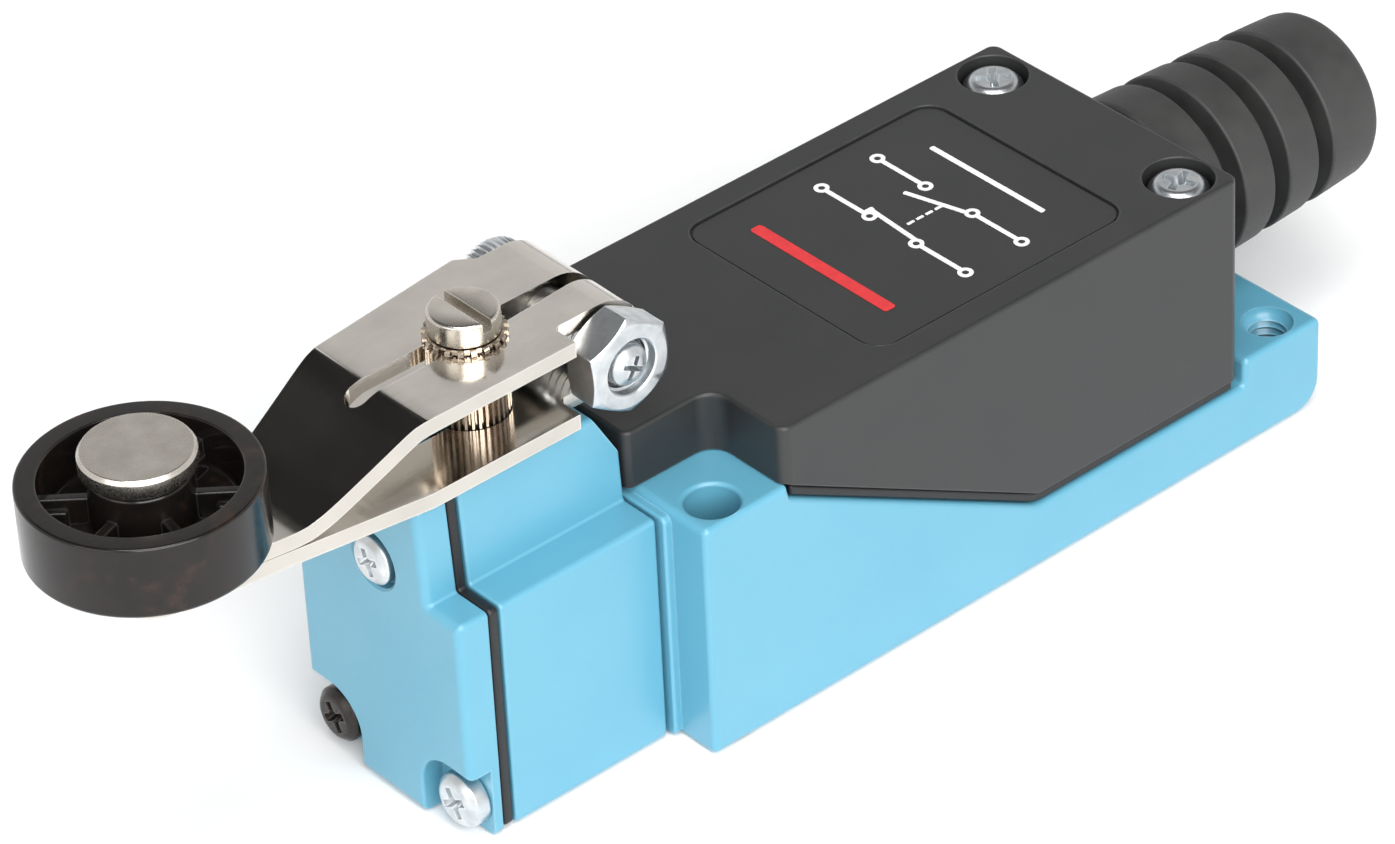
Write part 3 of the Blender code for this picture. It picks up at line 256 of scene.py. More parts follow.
def rectangle(half_a, half_b, middle=(0.0, 0.0)):
    a, b = middle
    left, right = a - half_a, a + half_a
    low, high = b - half_b, b + half_b
    return [(left, low), (right, low), (right, high), (left, high)]


AXES = {
    "z": Matrix.Identity(4),
    "x": Matrix.Rotation(math.pi / 2, 4, "Y"),
    "-x": Matrix.Rotation(-math.pi / 2, 4, "Y"),
    "y": Matrix.Rotation(-math.pi / 2, 4, "X"),
}
PLANES = {
    "xy": lambda a, b, level: (a, b, level),
    "xz": lambda a, b, level: (a, level, b),
    "yz": lambda a, b, level: (level, a, b),
}


def loft(name, corners, radii, plane, profile, steps=6):
    """A solid whose outline follows a profile of (inset, level) pairs."""
    place = PLANES[plane]
    form = bmesh.new()
    rings = []
    for inset, level in profile:
        outline = fillet(corners, radii, inset, steps)
        rings.append([form.verts.new(place(point[0], point[1], level)) for point in outline])
    return skin(name, form, rings)


def edges(low, high, low_edge=0.0, high_edge=0.0, steps=4):
    """A profile with rounded ends. A negative edge flares outwards, for a cutter with a rounded rim."""
    result = []
    for level, edge, sign in ((low, low_edge, 1), (high, high_edge, -1)):
        if not edge:
            result.append([(0.0, level)])
            continue
        turns = [math.pi / 2 * step / steps for step in range(steps + 1)]
        result.append([
            (edge * (1 - math.cos(turn)), level + sign * abs(edge) * (1 - math.sin(turn))) for turn in turns
        ])
    return result[0][::-1] + result[1]


def slab(name, corners, radii, plane, low, high, low_edge=0.0, high_edge=0.0, steps=6):
    return loft(name, corners, radii, plane, edges(low, high, low_edge, high_edge), steps)


def mouth(name, corners, radii, plane, low, high, rim=0.1):
    """A cutter from low to high whose rim at the high end is rounded into the surface."""
    profile = edges(low, high, 0.0, -rim) + [(-rim, high + 1.0)]
    return loft(name, corners, radii, plane, profile)


def turned(name, outline, place=(0, 0, 0), axis="z", steps=64, closed=False):
    """A piece turned about an axis through its place. The outline is (radius, height) pairs."""
    form = bmesh.new()
    points = [form.verts.new((radius, 0.0, height)) for radius, height in outline]
    pairs = list(zip(points, points[1:]))
    if closed:
        pairs.append((points[-1], points[0]))
    lines = [form.edges.new(pair) for pair in pairs]
    bmesh.ops.spin(form, geom=points + lines, cent=(0, 0, 0), axis=(0, 0, 1), angle=2 * math.pi,
                   steps=steps, use_merge=True)
    bmesh.ops.remove_doubles(form, verts=form.verts, dist=0.0005)
    form.transform(Matrix.Translation(place) @ AXES[axis])
    return object_of(name, form)


def rod(name, radius, low, high, place=(0, 0, 0), axis="z", steps=64):
    """A plain cylinder about an axis through its place."""
    return turned(name, [(0.0, low), (radius, low), (radius, high), (0.0, high)], place, axis, steps)


def softened(outline, radii, steps=4):
    """An open (radius, height) outline with its inner corners rounded by the radii given."""
    result = [Vector(outline[0])]
    for index in range(1, len(outline) - 1):
        here = Vector(outline[index])
        bend = radii[index]
        if not bend:
            result.append(here)
            continue
        before = (Vector(outline[index - 1]) - here).normalized()
        after = (Vector(outline[index + 1]) - here).normalized()
        result += arc(here, before, after, bend, steps)
    result.append(Vector(outline[-1]))
    return [tuple(point) for point in result]


def toothed(name, teeth, outer, inner, profile, root=0.14, tip=0.12):
    """A toothed disc or rod about the Z axis. The profile is (shrink, height) pairs."""
    form = bmesh.new()
    rings = []
    for shrink, height in profile:
        ring = []
        for tooth in range(teeth):
            for share, radius in ((-root, inner), (root, inner), (0.5 - tip, outer), (0.5 + tip, outer)):
                turn = 2 * math.pi * (tooth + share) / teeth
                reach = radius - shrink
                ring.append(form.verts.new((reach * math.cos(turn), reach * math.sin(turn), height)))
        rings.append(ring)
    return skin(name, form, rings)


def placed(made, place, axis="z"):
    made.data.transform(Matrix.Translation(place) @ AXES[axis])
    return made


def baked(made):
    """Applies an object's modifiers."""
    bpy.context.view_layer.update()
    seen = made.evaluated_get(bpy.context.evaluated_depsgraph_get())
    mesh = bpy.data.meshes.new_from_object(seen)
    made.modifiers.clear()
    old = made.data
    made.data = mesh
    bpy.data.meshes.remove(old)
    return made


def boolean(made, tools, operation):
    for tool in tools:
        change = made.modifiers.new("Shape", "BOOLEAN")
        change.operation = operation
        change.solver = "EXACT"
        change.object = tool
    baked(made)
    for tool in tools:
        bpy.data.objects.remove(tool, do_unlink=True)
    return made


def cut(made, *tools):
    return boolean(made, tools, "DIFFERENCE")


def join(made, *tools):
    return boolean(made, tools, "UNION")


def trim(made, *tools):
    return boolean(made, tools, "INTERSECT")


def soften(made, width, segments=2, angle=50.0, keep=None):
    """Bevels the sharp edges of a shape. keep(middle) says which edges, by their middle point."""
    form = bmesh.new()
    form.from_mesh(made.data)
    bmesh.ops.remove_doubles(form, verts=form.verts, dist=0.001)
    bmesh.ops.dissolve_limit(form, angle_limit=0.002, verts=form.verts, edges=form.edges)
    limit = math.radians(angle)
    sharp = []
    for edge in form.edges:
        if len(edge.link_faces) != 2 or edge.calc_face_angle(0.0) < limit:
            continue
        middle = (edge.verts[0].co + edge.verts[1].co) / 2
        if keep is None or keep(middle):
            sharp.append(edge)
    bmesh.ops.bevel(form, geom=sharp, offset=width, segments=segments, profile=0.5, affect="EDGES",
                    clamp_overlap=True)
    form.to_mesh(made.data)
    form.free()
    return made


def done(made, node, look, body="body", angle=38.0):
    """Scales a piece to metres, smooths it, gives it its look, and lets it ride in place of its CAD node."""
    made.data.transform(Matrix.Scale(MM, 4))
    made.data.materials.clear()
    made.data.materials.append(look)
    for face in made.data.polygons:
        face.material_index = 0
        face.use_smooth = True
    made.data.set_sharp_from_angle(angle=math.radians(angle))
    weighted = made.modifiers.new("Normals", "WEIGHTED_NORMAL")
    weighted.keep_sharp = True
    weighted.weight = 80
    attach(made, body)
    if node:
        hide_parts(node)
    return made


# --- materials -------------------------------------------------------------------------------------------

def add(tree, kind, **settings):
    made = tree.nodes.new(kind)
    for key, value in settings.items():
        setattr(made, key, value)
    return made


def noise(tree, place, size, detail=3.0, stretch=(1, 1, 1)):
    """Noise whose features are about the given size in millimetres, stretched along the axes."""
    mapping = add(tree, "ShaderNodeMapping")
    mapping.inputs["Scale"].default_value = [1 / (size * MM * along) for along in stretch]
    made = add(tree, "ShaderNodeTexNoise")
    made.inputs["Scale"].default_value = 1.0
    made.inputs["Detail"].default_value = detail
    tree.links.new(place, mapping.inputs["Vector"])
    tree.links.new(mapping.outputs["Vector"], made.inputs["Vector"])
    return made.outputs["Fac"]


def remap(tree, value, low, high, start=0.3, end=0.7):
    made = add(tree, "ShaderNodeMapRange")
    for socket, number in (("From Min", start), ("From Max", end), ("To Min", low), ("To Max", high)):
        made.inputs[socket].default_value = number
    tree.links.new(value, made.inputs["Value"])
    return made.outputs["Result"]


def blend_colours(tree, share, first, second):
    """Mixes two colours, each a value or a socket, by a share."""
    made = add(tree, "ShaderNodeMix", data_type="RGBA")
    for socket, colour in ((made.inputs[6], first), (made.inputs[7], second)):
        if isinstance(colour, tuple):
            socket.default_value = (*colour, 1.0)
        else:
            tree.links.new(colour, socket)
    tree.links.new(share, made.inputs[0])
    return made.outputs[2]


def edge_share(tree, radius, edge_breakup_noise):
    """How close a point is to an outer edge, broken up by noise. This masks the lightened edges, which are
    partly wear and partly painted edge highlight.
    """
    bevel = add(tree, "ShaderNodeBevel", samples=4)
    bevel.inputs["Radius"].default_value = radius * MM
    geometry = add(tree, "ShaderNodeNewGeometry")
    turn = add(tree, "ShaderNodeVectorMath", operation="DOT_PRODUCT")
    tree.links.new(bevel.outputs["Normal"], turn.inputs[0])
    tree.links.new(geometry.outputs["Normal"], turn.inputs[1])
    near = remap(tree, turn.outputs["Value"], 1.0, 0.0, 0.86, 0.985)
    product = add(tree, "ShaderNodeMath", operation="MULTIPLY")
    tree.links.new(near, product.inputs[0])
    tree.links.new(remap(tree, edge_breakup_noise, 0.35, 1.0), product.inputs[1])
    return product.outputs["Value"]


def surface(name, colour, patch, rough, metallic=0.0, patch_size=6.0, grain=0.2, bump=0.002,
            stretch=(1, 1, 1), wear=None, wear_radius=0.25, specks=None, **sockets):
    """A procedural material: patchy colour, varied roughness, a fine bumpy grain, and edges lightened partly
    as wear and partly as painted edge highlight.
    """
    made = bpy.data.materials.new(name)
    made.use_nodes = True
    tree = made.node_tree
    shader = tree.nodes["Principled BSDF"]
    shader.inputs["Metallic"].default_value = metallic
    for socket, value in sockets.items():
        shader.inputs[socket.replace("_", " ")].default_value = value
    place = add(tree, "ShaderNodeTexCoord").outputs["Object"]
    broad = noise(tree, place, patch_size, 4.0)
    fine = noise(tree, place, grain, 2.0, stretch)
    colours = blend_colours(tree, remap(tree, broad, 0.0, 1.0), colour, patch)
    if specks:
        speck_colour, speck_size = specks
        speck = remap(tree, noise(tree, place, speck_size, 6.0), 0.0, 1.0, 0.55, 0.72)
        colours = blend_colours(tree, speck, colours, speck_colour)
    # Edges are lightened towards the edge colour: partly wear, partly a painted highlight standing in for
    # light catching the rounded edges.
    if wear:
        share = edge_share(tree, wear_radius, noise(tree, place, 1.5))
        colours = blend_colours(tree, share, colours, wear)
    tree.links.new(colours, shader.inputs["Base Color"])
    mixed = add(tree, "ShaderNodeMath", operation="MULTIPLY_ADD")
    mixed.inputs[1].default_value = 0.5
    tree.links.new(fine, mixed.inputs[0])
    halved = add(tree, "ShaderNodeMath", operation="MULTIPLY")
    halved.inputs[1].default_value = 0.5
    tree.links.new(broad, halved.inputs[0])
    tree.links.new(halved.outputs["Value"], mixed.inputs[2])
    tree.links.new(remap(tree, mixed.outputs["Value"], *rough), shader.inputs["Roughness"])
    relief = add(tree, "ShaderNodeBump")
    relief.inputs["Strength"].default_value = 1.0
    relief.inputs["Distance"].default_value = bump * MM
    tree.links.new(fine, relief.inputs["Height"])
    tree.links.new(relief.outputs["Normal"], shader.inputs["Normal"])
    return made


def make_looks():
    """One material for each slot of the record, and others for printed lines, seals and serrations."""
    looks = {}

    def look(name, *colours_and_rough, **settings):
        looks[name] = surface(name, *colours_and_rough, **settings)

    # Each look's edge colour is lighter than its body: partly edge wear, partly painted edge highlight.
    look("blue_paint", (0.106, 0.325, 0.440), (0.095, 0.310, 0.428), (0.30, 0.40), patch_size=9.0,
         grain=0.35, bump=0.0035, wear=(0.24, 0.46, 0.56), Coat_Weight=0.3, Coat_Roughness=0.2)
    look("black_plastic", (0.017, 0.0175, 0.018), (0.022, 0.0225, 0.022), (0.38, 0.50), patch_size=5.0,
         grain=0.14, bump=0.009, wear=(0.075, 0.075, 0.075))
    look("label_film", (0.015, 0.0165, 0.0155), (0.019, 0.0205, 0.019), (0.34, 0.44), patch_size=8.0,
         grain=0.3, bump=0.002)
    look("black_rubber", (0.022, 0.022, 0.0215), (0.034, 0.034, 0.033), (0.50, 0.66), patch_size=3.0,
         grain=0.2, bump=0.009, wear=(0.05, 0.05, 0.05))
    look("seal_rubber", (0.005, 0.005, 0.006), (0.009, 0.009, 0.010), (0.40, 0.55), patch_size=3.0,
         grain=0.2, bump=0.006, wear=(0.03, 0.03, 0.03))
    look("zinc_plate", (0.68, 0.70, 0.71), (0.50, 0.53, 0.55), (0.26, 0.42), 1.0, patch_size=1.1,
         grain=0.12, bump=0.0014, wear=(0.90, 0.92, 0.94))
    look("black_screw", (0.010, 0.009, 0.009), (0.030, 0.022, 0.018), (0.20, 0.36), 0.3, patch_size=1.0,
         grain=0.15, bump=0.006, wear=(0.16, 0.14, 0.13))
    look("nickel_plate", (0.64, 0.605, 0.55), (0.57, 0.54, 0.495), (0.08, 0.15), 1.0, patch_size=4.0,
         grain=0.12, bump=0.0016, stretch=(8, 1, 1), wear=(0.86, 0.83, 0.79))
    look("turned_steel", (0.66, 0.62, 0.56), (0.56, 0.52, 0.46), (0.20, 0.34), 1.0, patch_size=2.0,
         grain=0.10, bump=0.002, wear=(0.85, 0.81, 0.75))
    look("serrated_steel", (0.44, 0.37, 0.30), (0.34, 0.28, 0.23), (0.16, 0.30), 1.0, patch_size=1.5,
         grain=0.10, bump=0.003, stretch=(1, 1, 0.1), wear=(0.70, 0.63, 0.54), wear_radius=0.12)
    look("roller_resin", (0.006, 0.0055, 0.005), (0.011, 0.008, 0.007), (0.12, 0.24), patch_size=2.5,
         grain=0.5, bump=0.004, specks=((0.026, 0.014, 0.010), 2.2), wear=(0.05, 0.048, 0.045),
         Specular_IOR_Level=0.36)
    look("bush_bronze", (0.55, 0.36, 0.18), (0.45, 0.29, 0.15), (0.30, 0.45), 1.0, patch_size=1.0,
         grain=0.1, bump=0.006, wear=(0.75, 0.55, 0.32))
    look("spring_steel", (0.42, 0.42, 0.44), (0.34, 0.34, 0.36), (0.22, 0.36), 1.0, patch_size=1.0,
         grain=0.1, bump=0.003)
    look("phenolic", (0.085, 0.032, 0.020), (0.12, 0.05, 0.03), (0.35, 0.5), patch_size=1.0, grain=0.15,
         bump=0.006, specks=((0.18, 0.10, 0.07), 0.6), wear=(0.2, 0.1, 0.07))
    look("brass", (0.72, 0.50, 0.22), (0.60, 0.42, 0.20), (0.22, 0.36), 1.0, patch_size=1.5, grain=0.1,
         bump=0.003, wear=(0.88, 0.68, 0.38))
    look("contact_copper", (0.75, 0.42, 0.30), (0.62, 0.33, 0.24), (0.22, 0.38), 1.0, patch_size=1.5,
         grain=0.12, bump=0.003, wear=(0.9, 0.62, 0.5))
    look("white_ink", (0.80, 0.80, 0.80), (0.70, 0.70, 0.70), (0.45, 0.6), patch_size=0.6, grain=0.08,
         bump=0.002)
    look("red_ink", (0.62, 0.025, 0.03), (0.52, 0.02, 0.025), (0.4, 0.55), patch_size=0.8, grain=0.08,
         bump=0.002)
    return looks


# --- body and cover --------------------------------------------------------------------------------------

def thread_outline(outer, depth, pitch, start, end):
    """The zigzag of a thread from start up to end, as (radius, height) pairs."""
    points = []
    level = start
    while level < end - pitch / 2:
        points += [(outer - depth, level), (outer, level + pitch / 2)]
        level += pitch
    return points + [(outer - depth, end)]


def tapped_cutter(place, top, radius=1.7, pitch=THREAD_PITCH, rim=0.35):
    outline = [(0.0, -1.0), (radius - 0.15, -1.0)]
    outline += thread_outline(radius + 0.15, 0.3, pitch, 0.2, top - 1.0)
    outline += [(radius + 0.15, top - 0.8), (radius + rim, top - 0.3), (radius + rim + 0.15, top + 1.0)]
    outline += [(0.0, top + 1.0)]
    return turned("tapped", outline, (*place, 0.0), steps=40)


def plain_cutter(place, top, radius, rim=0.35):
    outline = [(0.0, -1.0), (radius + rim, -1.0), (radius + rim, 0.0), (radius, rim)]
    outline += flared(radius, rim, top, 5)
    outline += [(radius + rim, top + 1.0), (0.0, top + 1.0)]
    return turned("plain", outline, (*place, 0.0), steps=48)


def make_body(look):
    side = [
        (HEAD_END_X, 0.0), (GLAND_END_X, 0.0), (GLAND_END_X, GLAND_EAR_Z), (GLAND_EAR_X, GLAND_EAR_Z),
        (GLAND_EAR_X, RIM_Z), (SLOPE_FOOT_X, RIM_Z), SLOPE_TOP, (COVER_STEP_X + 0.4, EAR_TOP_Z),
        (HEAD_END_X, EAR_TOP_Z),
    ]
    radii = [0.4, 2.5, 0.6, 0.6, 0.4, 3.0, 0.3, 0.3, 0.6]
    body = slab("body_casting", side, radii, "xz", -BODY_HALF_WIDTH, BODY_HALF_WIDTH, 0.5, 0.5)
    pad_z = HEAD_STEP_Z / 2
    pad = slab("pad", rectangle(PAD_HALF_WIDTH, pad_z, (0.0, pad_z)), [0.6] * 4, "yz", BODY_LOW.x,
               HEAD_END_X + 1.0, 0.25)
    join(body, pad)
    inner = BODY_HALF_WIDTH - BODY_WALL
    cavity_x = (HEAD_END_X + 9.0, HEAD_END_X + 53.5)
    cavity = slab("cavity", rectangle((cavity_x[1] - cavity_x[0]) / 2, inner, (sum(cavity_x) / 2, 0.0)),
                  [1.5] * 4, "xy", BODY_WALL, EAR_TOP_Z + 1.0, 0.5)
    stepped = [(0.0, -6.0), (4.4, -6.0), (4.4, 6.0), (2.6, 6.0), (2.6, 11.0), (0.0, 11.0)]
    mechanism = turned("mechanism_bore", stepped, (HEAD_END_X, 0, MECHANISM_Z), "x")
    cut(body, cavity, mechanism)
    x, y = COVER_SCREWS
    posts = [slab("post", rectangle(2.8, 2.2, (x, side_y * y)), [0.5] * 4, "xy", BODY_WALL - 0.5, RIM_Z - 0.5)
             for side_y in (-1, 1)]
    join(body, *posts)
    holes = [plain_cutter((HEAD_EAR_HOLE[0], -HEAD_EAR_HOLE[1]), EAR_TOP_Z, EAR_HOLE_RADIUS),
             plain_cutter(GLAND_EAR_HOLE, GLAND_EAR_Z, EAR_HOLE_RADIUS),
             tapped_cutter(HEAD_EAR_HOLE, EAR_TOP_Z),
             tapped_cutter((GLAND_EAR_HOLE[0], -GLAND_EAR_HOLE[1]), GLAND_EAR_Z)]
    holes += [rod("post_hole", 1.7, 1.2, 9.0, (x, side_y * y, 0)) for side_y in (-1, 1)]
    cut(body, *holes)
    done(body, "base_housing", look)


def cover_corners():
    start, end = COVER_LOW.x, COVER_HIGH.x
    wide = COVER_HIGH.y
    neck = NECK_HALF_WIDTH
    step = COVER_STEP_X
    return [(start, -neck), (step, -neck), (step, -wide), (end, -wide),
            (end, wide), (step, wide), (step, neck), (start, neck)]


def make_cover(look):
    top = COVER_HIGH.z
    radii = [0.7, 1.8, 0.9, 0.9, 0.9, 0.9, 1.8, 0.7]
    cover = slab("cover_shell", cover_corners(), radii, "xy", 0.0, top, 0.0, 0.32)
    for vertex in cover.data.vertices:
        if vertex.co.x > GLAND_EAR_X - 5.0:
            vertex.co.x -= COVER_DRAFT * vertex.co.z / top
    low = EAR_TOP_Z + 0.12
    above = [(COVER_LOW.x - 3.0, low), (SLOPE_TOP[0] - 0.3, low), (SLOPE_FOOT_X, RIM_Z + COVER_LIFT),
             (GLAND_EAR_X + 2.0, RIM_Z + COVER_LIFT), (GLAND_EAR_X + 2.0, top + 2.0),
             (COVER_LOW.x - 3.0, top + 2.0)]
    trim(cover, slab("above", above, [0, 0.3, 1.0, 0, 0, 0], "xz", -20.0, 20.0))
    soften(cover, 0.15, 2, 60.0, lambda middle: middle.z < EAR_TOP_Z + 1.0)
    inside = slab("inside", offset_corners(cover_corners(), COVER_WALL), [0.5] * 8, "xy", -1.0,
                  top - COVER_WALL, 0.0, 0.4)
    cut(cover, inside)
    x, y = COVER_SCREWS
    bosses = []
    ways = []
    radius, depth = COUNTERBORE
    rim = 0.15
    for side_y in (-1, 1):
        bosses.append(slab("boss", rectangle(3.6, 3.0, (x - 1.4, side_y * (y - 0.4))), [0.5] * 4, "xy",
                           RIM_Z + COVER_LIFT + 0.1, top - 0.8))
        outline = [(0.0, -1.0), (1.8, -1.0), (1.8, top - depth), (radius, top - depth)]
        outline += flared(radius, rim, top, 4)
        outline += [(radius + rim, top + 1.0), (0.0, top + 1.0)]
        ways.append(turned("screw_way", outline, (x, side_y * y, 0)))
    join(cover, *bosses)
    half_x = (LABEL_HIGH.x - LABEL_LOW.x) / 2 + 0.2
    half_y = (LABEL_HIGH.y - LABEL_LOW.y) / 2 + 0.2
    middle = ((LABEL_HIGH.x + LABEL_LOW.x) / 2, 0.0)
    recess = mouth("recess", rectangle(half_x, half_y, middle), [LABEL_RADIUS] * 4, "xy", top - LABEL_RECESS,
                   top, 0.08)
    inlet = rod("inlet", 5.8, -6.0, 6.0, (COVER_HIGH.x, 0, GLAND_Z), "x")
    cut(cover, inlet, recess, *ways)
    done(cover, "switch_cover", look)


def make_seal(look):
    """The rubber strip that shows between the cover's lower edge and the body's rim."""
    start = SLOPE_TOP[0] + 0.2
    end = SEAL_HIGH.x
    run = SLOPE_FOOT_X - SLOPE_TOP[0]
    fall = (SLOPE_TOP[1] - RIM_Z) / run
    low, high = 0.12, COVER_LIFT - 0.12
    start_z = SLOPE_TOP[1] - fall * (start - SLOPE_TOP[0])
    band = [(start, start_z + low), (SLOPE_FOOT_X, RIM_Z + low), (end, RIM_Z + low), (end, RIM_Z + high),
            (SLOPE_FOOT_X, RIM_Z + high), (start, start_z + high)]
    half = BODY_HALF_WIDTH - 0.3
    strip = slab("rim_seal", band, [0.2, 3.0, 0.2, 0.2, 3.0, 0.2], "xz", -half, half, 0.3, 0.3)
    opening = rectangle((end - start) / 2 - 1.4, BODY_HALF_WIDTH - 2.2, ((start + end) / 2, 0.0))
    window = slab("window", opening, [1.0] * 4, "xy", 0.0, 30.0)
    x, y = COVER_SCREWS
    ways = [rod("way", 1.8, 0.0, 20.0, (x, side_y * y, 0)) for side_y in (-1, 1)]
    cut(strip, window, *ways)
    done(strip, "cover_gasket", look)


def make_label(looks):
    """A flat label with a generic contact diagram: no lettering."""
    top = COVER_HIGH.z - 0.16
    half_x = (LABEL_HIGH.x - LABEL_LOW.x) / 2
    half_y = (LABEL_HIGH.y - LABEL_LOW.y) / 2
    middle_x = (LABEL_HIGH.x + LABEL_LOW.x) / 2
    plate = slab("label", rectangle(half_x, half_y, (middle_x, 0.0)), [LABEL_RADIUS - 0.2] * 4, "xy",
                 COVER_HIGH.z - LABEL_RECESS + 0.02, top, 0.0, 0.06)
    done(plate, "label_plate", looks["label_film"])
    strokes = []

    def stroke(first, last, width=0.42):
        """A printed line between two points of the label, measured from its middle."""
        a, b = Vector(first), Vector(last)
        along = (b - a).normalized() * width / 2
        across = Vector((-along.y, along.x))
        outline = [a - along - across, b + along - across, b + along + across, a - along + across]
        placed = [(point.x + middle_x, point.y) for point in outline]
        return slab("stroke", placed, [width * 0.3] * 4, "xy", top + 0.005, top + 0.035, steps=3)

    def dot(place, radius=0.62, bore=0.28):
        outline = [(bore, 0.0), (radius, 0.0), (radius, 0.03), (bore, 0.03)]
        return turned("dot", outline, (place[0] + middle_x, place[1], top + 0.005), steps=32, closed=True)

    for column, closed in ((-1.2, True), (4.6, False)):
        start, pivot, stop, end = -7.4, -2.6, 2.6, 7.4
        strokes.append(stroke((column, start), (column, pivot - 0.62)))
        strokes.append(stroke((column, stop + 0.62), (column, end)))
        strokes += [dot((column, along)) for along in (pivot, stop, start - 0.6, end + 0.6)]
        lean = 0.65 if closed else -1.7
        foot = (column + 0.3 * math.copysign(1, lean), pivot + 0.55)
        strokes.append(stroke(foot, (column + lean, stop + 0.35)))
        if closed:
            strokes.append(stroke((column + 0.75, stop + 0.62), (column, stop + 0.62)))
    for place in range(4):
        strokes.append(stroke((0.2 + 0.95 * place, -0.25), (0.65 + 0.95 * place, -0.25), 0.26))
    strokes.append(stroke((8.6, -6.0), (8.6, 6.0), 0.5))
    printed = strokes[0]
    printed.name = "label_diagram"
    join(printed, *strokes[1:])
    done(printed, None, looks["white_ink"])
    stripe = slab("label_stripe", rectangle(0.55, 7.6, (middle_x - 8.4, 0.0)), [0.3] * 4, "xy", top + 0.005,
                  top + 0.035)
    done(stripe, None, looks["red_ink"])


# --- screws ----------------------------------------------------------------------------------------------

def cross_outline(arm, width):
    return [(-arm, -width), (-width, -width), (-width, -arm), (width, -arm), (width, -width), (arm, -width),
            (arm, width), (width, width), (width, arm), (-width, arm), (-width, width), (-arm, width)]


def pan_screw(name, node, look, place, axis, turn, head, shank, length):
    """A pan-head screw with a tapered cross recess. Its head stands from zero up its axis."""
    radius, height = head
    corners = [(0.0, height), (radius * 0.76, height), (radius, height * 0.68), (radius, 0.0), (shank, 0.0)]
    outline = softened(corners, [0, radius * 0.3, height * 0.12, height * 0.08, 0])
    thread = thread_outline(shank, shank * 0.16, THREAD_PITCH, 0.5, length - 0.6)
    outline += [(shank, -0.4)] + [(reach, -level) for reach, level in thread]
    outline += [(shank * 0.6, -length), (0.0, -length)]
    screw = turned(name, outline, steps=48)
    depth = height * 0.62
    arm = radius * 0.56
    taper = [(radius * 0.11, height - depth), (0.0, height - depth * 0.25), (-radius * 0.03, height + 0.4)]
    recess = loft("recess", cross_outline(arm, radius * 0.13), [0.04] * 12, "xy", taper, 2)
    cone_line = [(0.0, height - depth * 1.1), (radius * 0.22, height - depth * 0.4),
                 (radius * 0.3, height + 0.3), (0.0, height + 0.3)]
    cone = turned("cone", cone_line, steps=24)
    cut(screw, recess, cone)
    soften(screw, radius * 0.025, 1, 55.0, lambda middle: middle.z > height * 0.6)
    screw.data.transform(Matrix.Translation(place) @ AXES[axis] @ Matrix.Rotation(turn, 4, "Z"))
    done(screw, node, look)


def make_screws(looks):
    zinc = looks["zinc_plate"]
    x, y = COVER_SCREWS
    seat = COVER_HIGH.z - COUNTERBORE[1] + 0.2
    for mark, side_y, turn in (("near", -1, 0.35), ("far", 1, 0.9)):
        place = (x, side_y * y, seat)
        pan_screw("cover_fixing_" + mark, "cover_screw_" + mark, zinc, place, "z", turn,
                  COVER_SCREW_HEAD, 1.5, 18.0)
    y, z = CAP_SCREWS
    flange = CAP_LOW.x + CAP_FLANGE * 2 + 0.15
    for mark, side_y, slot in (("near", -1, "zinc_plate"), ("far", 1, "black_screw")):
        place = (flange, side_y * y, z)
        pan_screw("head_fixing_" + mark, "head_screw_" + mark, looks[slot], place, "-x", 0.5,
                  CAP_SCREW_HEAD, 1.2, 9.0)
    place = (CAP_LOW.x + 0.85, 0.0, CAP_TOP_SCREW_Z)
    pan_screw("head_fixing_top", "head_screw_top", zinc, place, "-x", 0.35,
              CAP_TOP_SCREW_HEAD, 1.2, 4.5)


# --- head ------------------------------------------------------------------------------------------------

def head_corners():
    low, top = HEAD_HALF_WIDTH, HEAD_TOP_HALF_WIDTH
    step, high = HEAD_STEP_Z, HEAD_TOP_Z
    crown = top - HEAD_TOP_DRAFT
    return [(-low, 0.0), (low, 0.0), (low, step), (top, step), (crown, high), (-crown, high), (-top, step),
            (-low, step)]


HEAD_RADII = [0.5, 0.5, 0.45, 0.25, 0.5, 0.5, 0.25, 0.45]


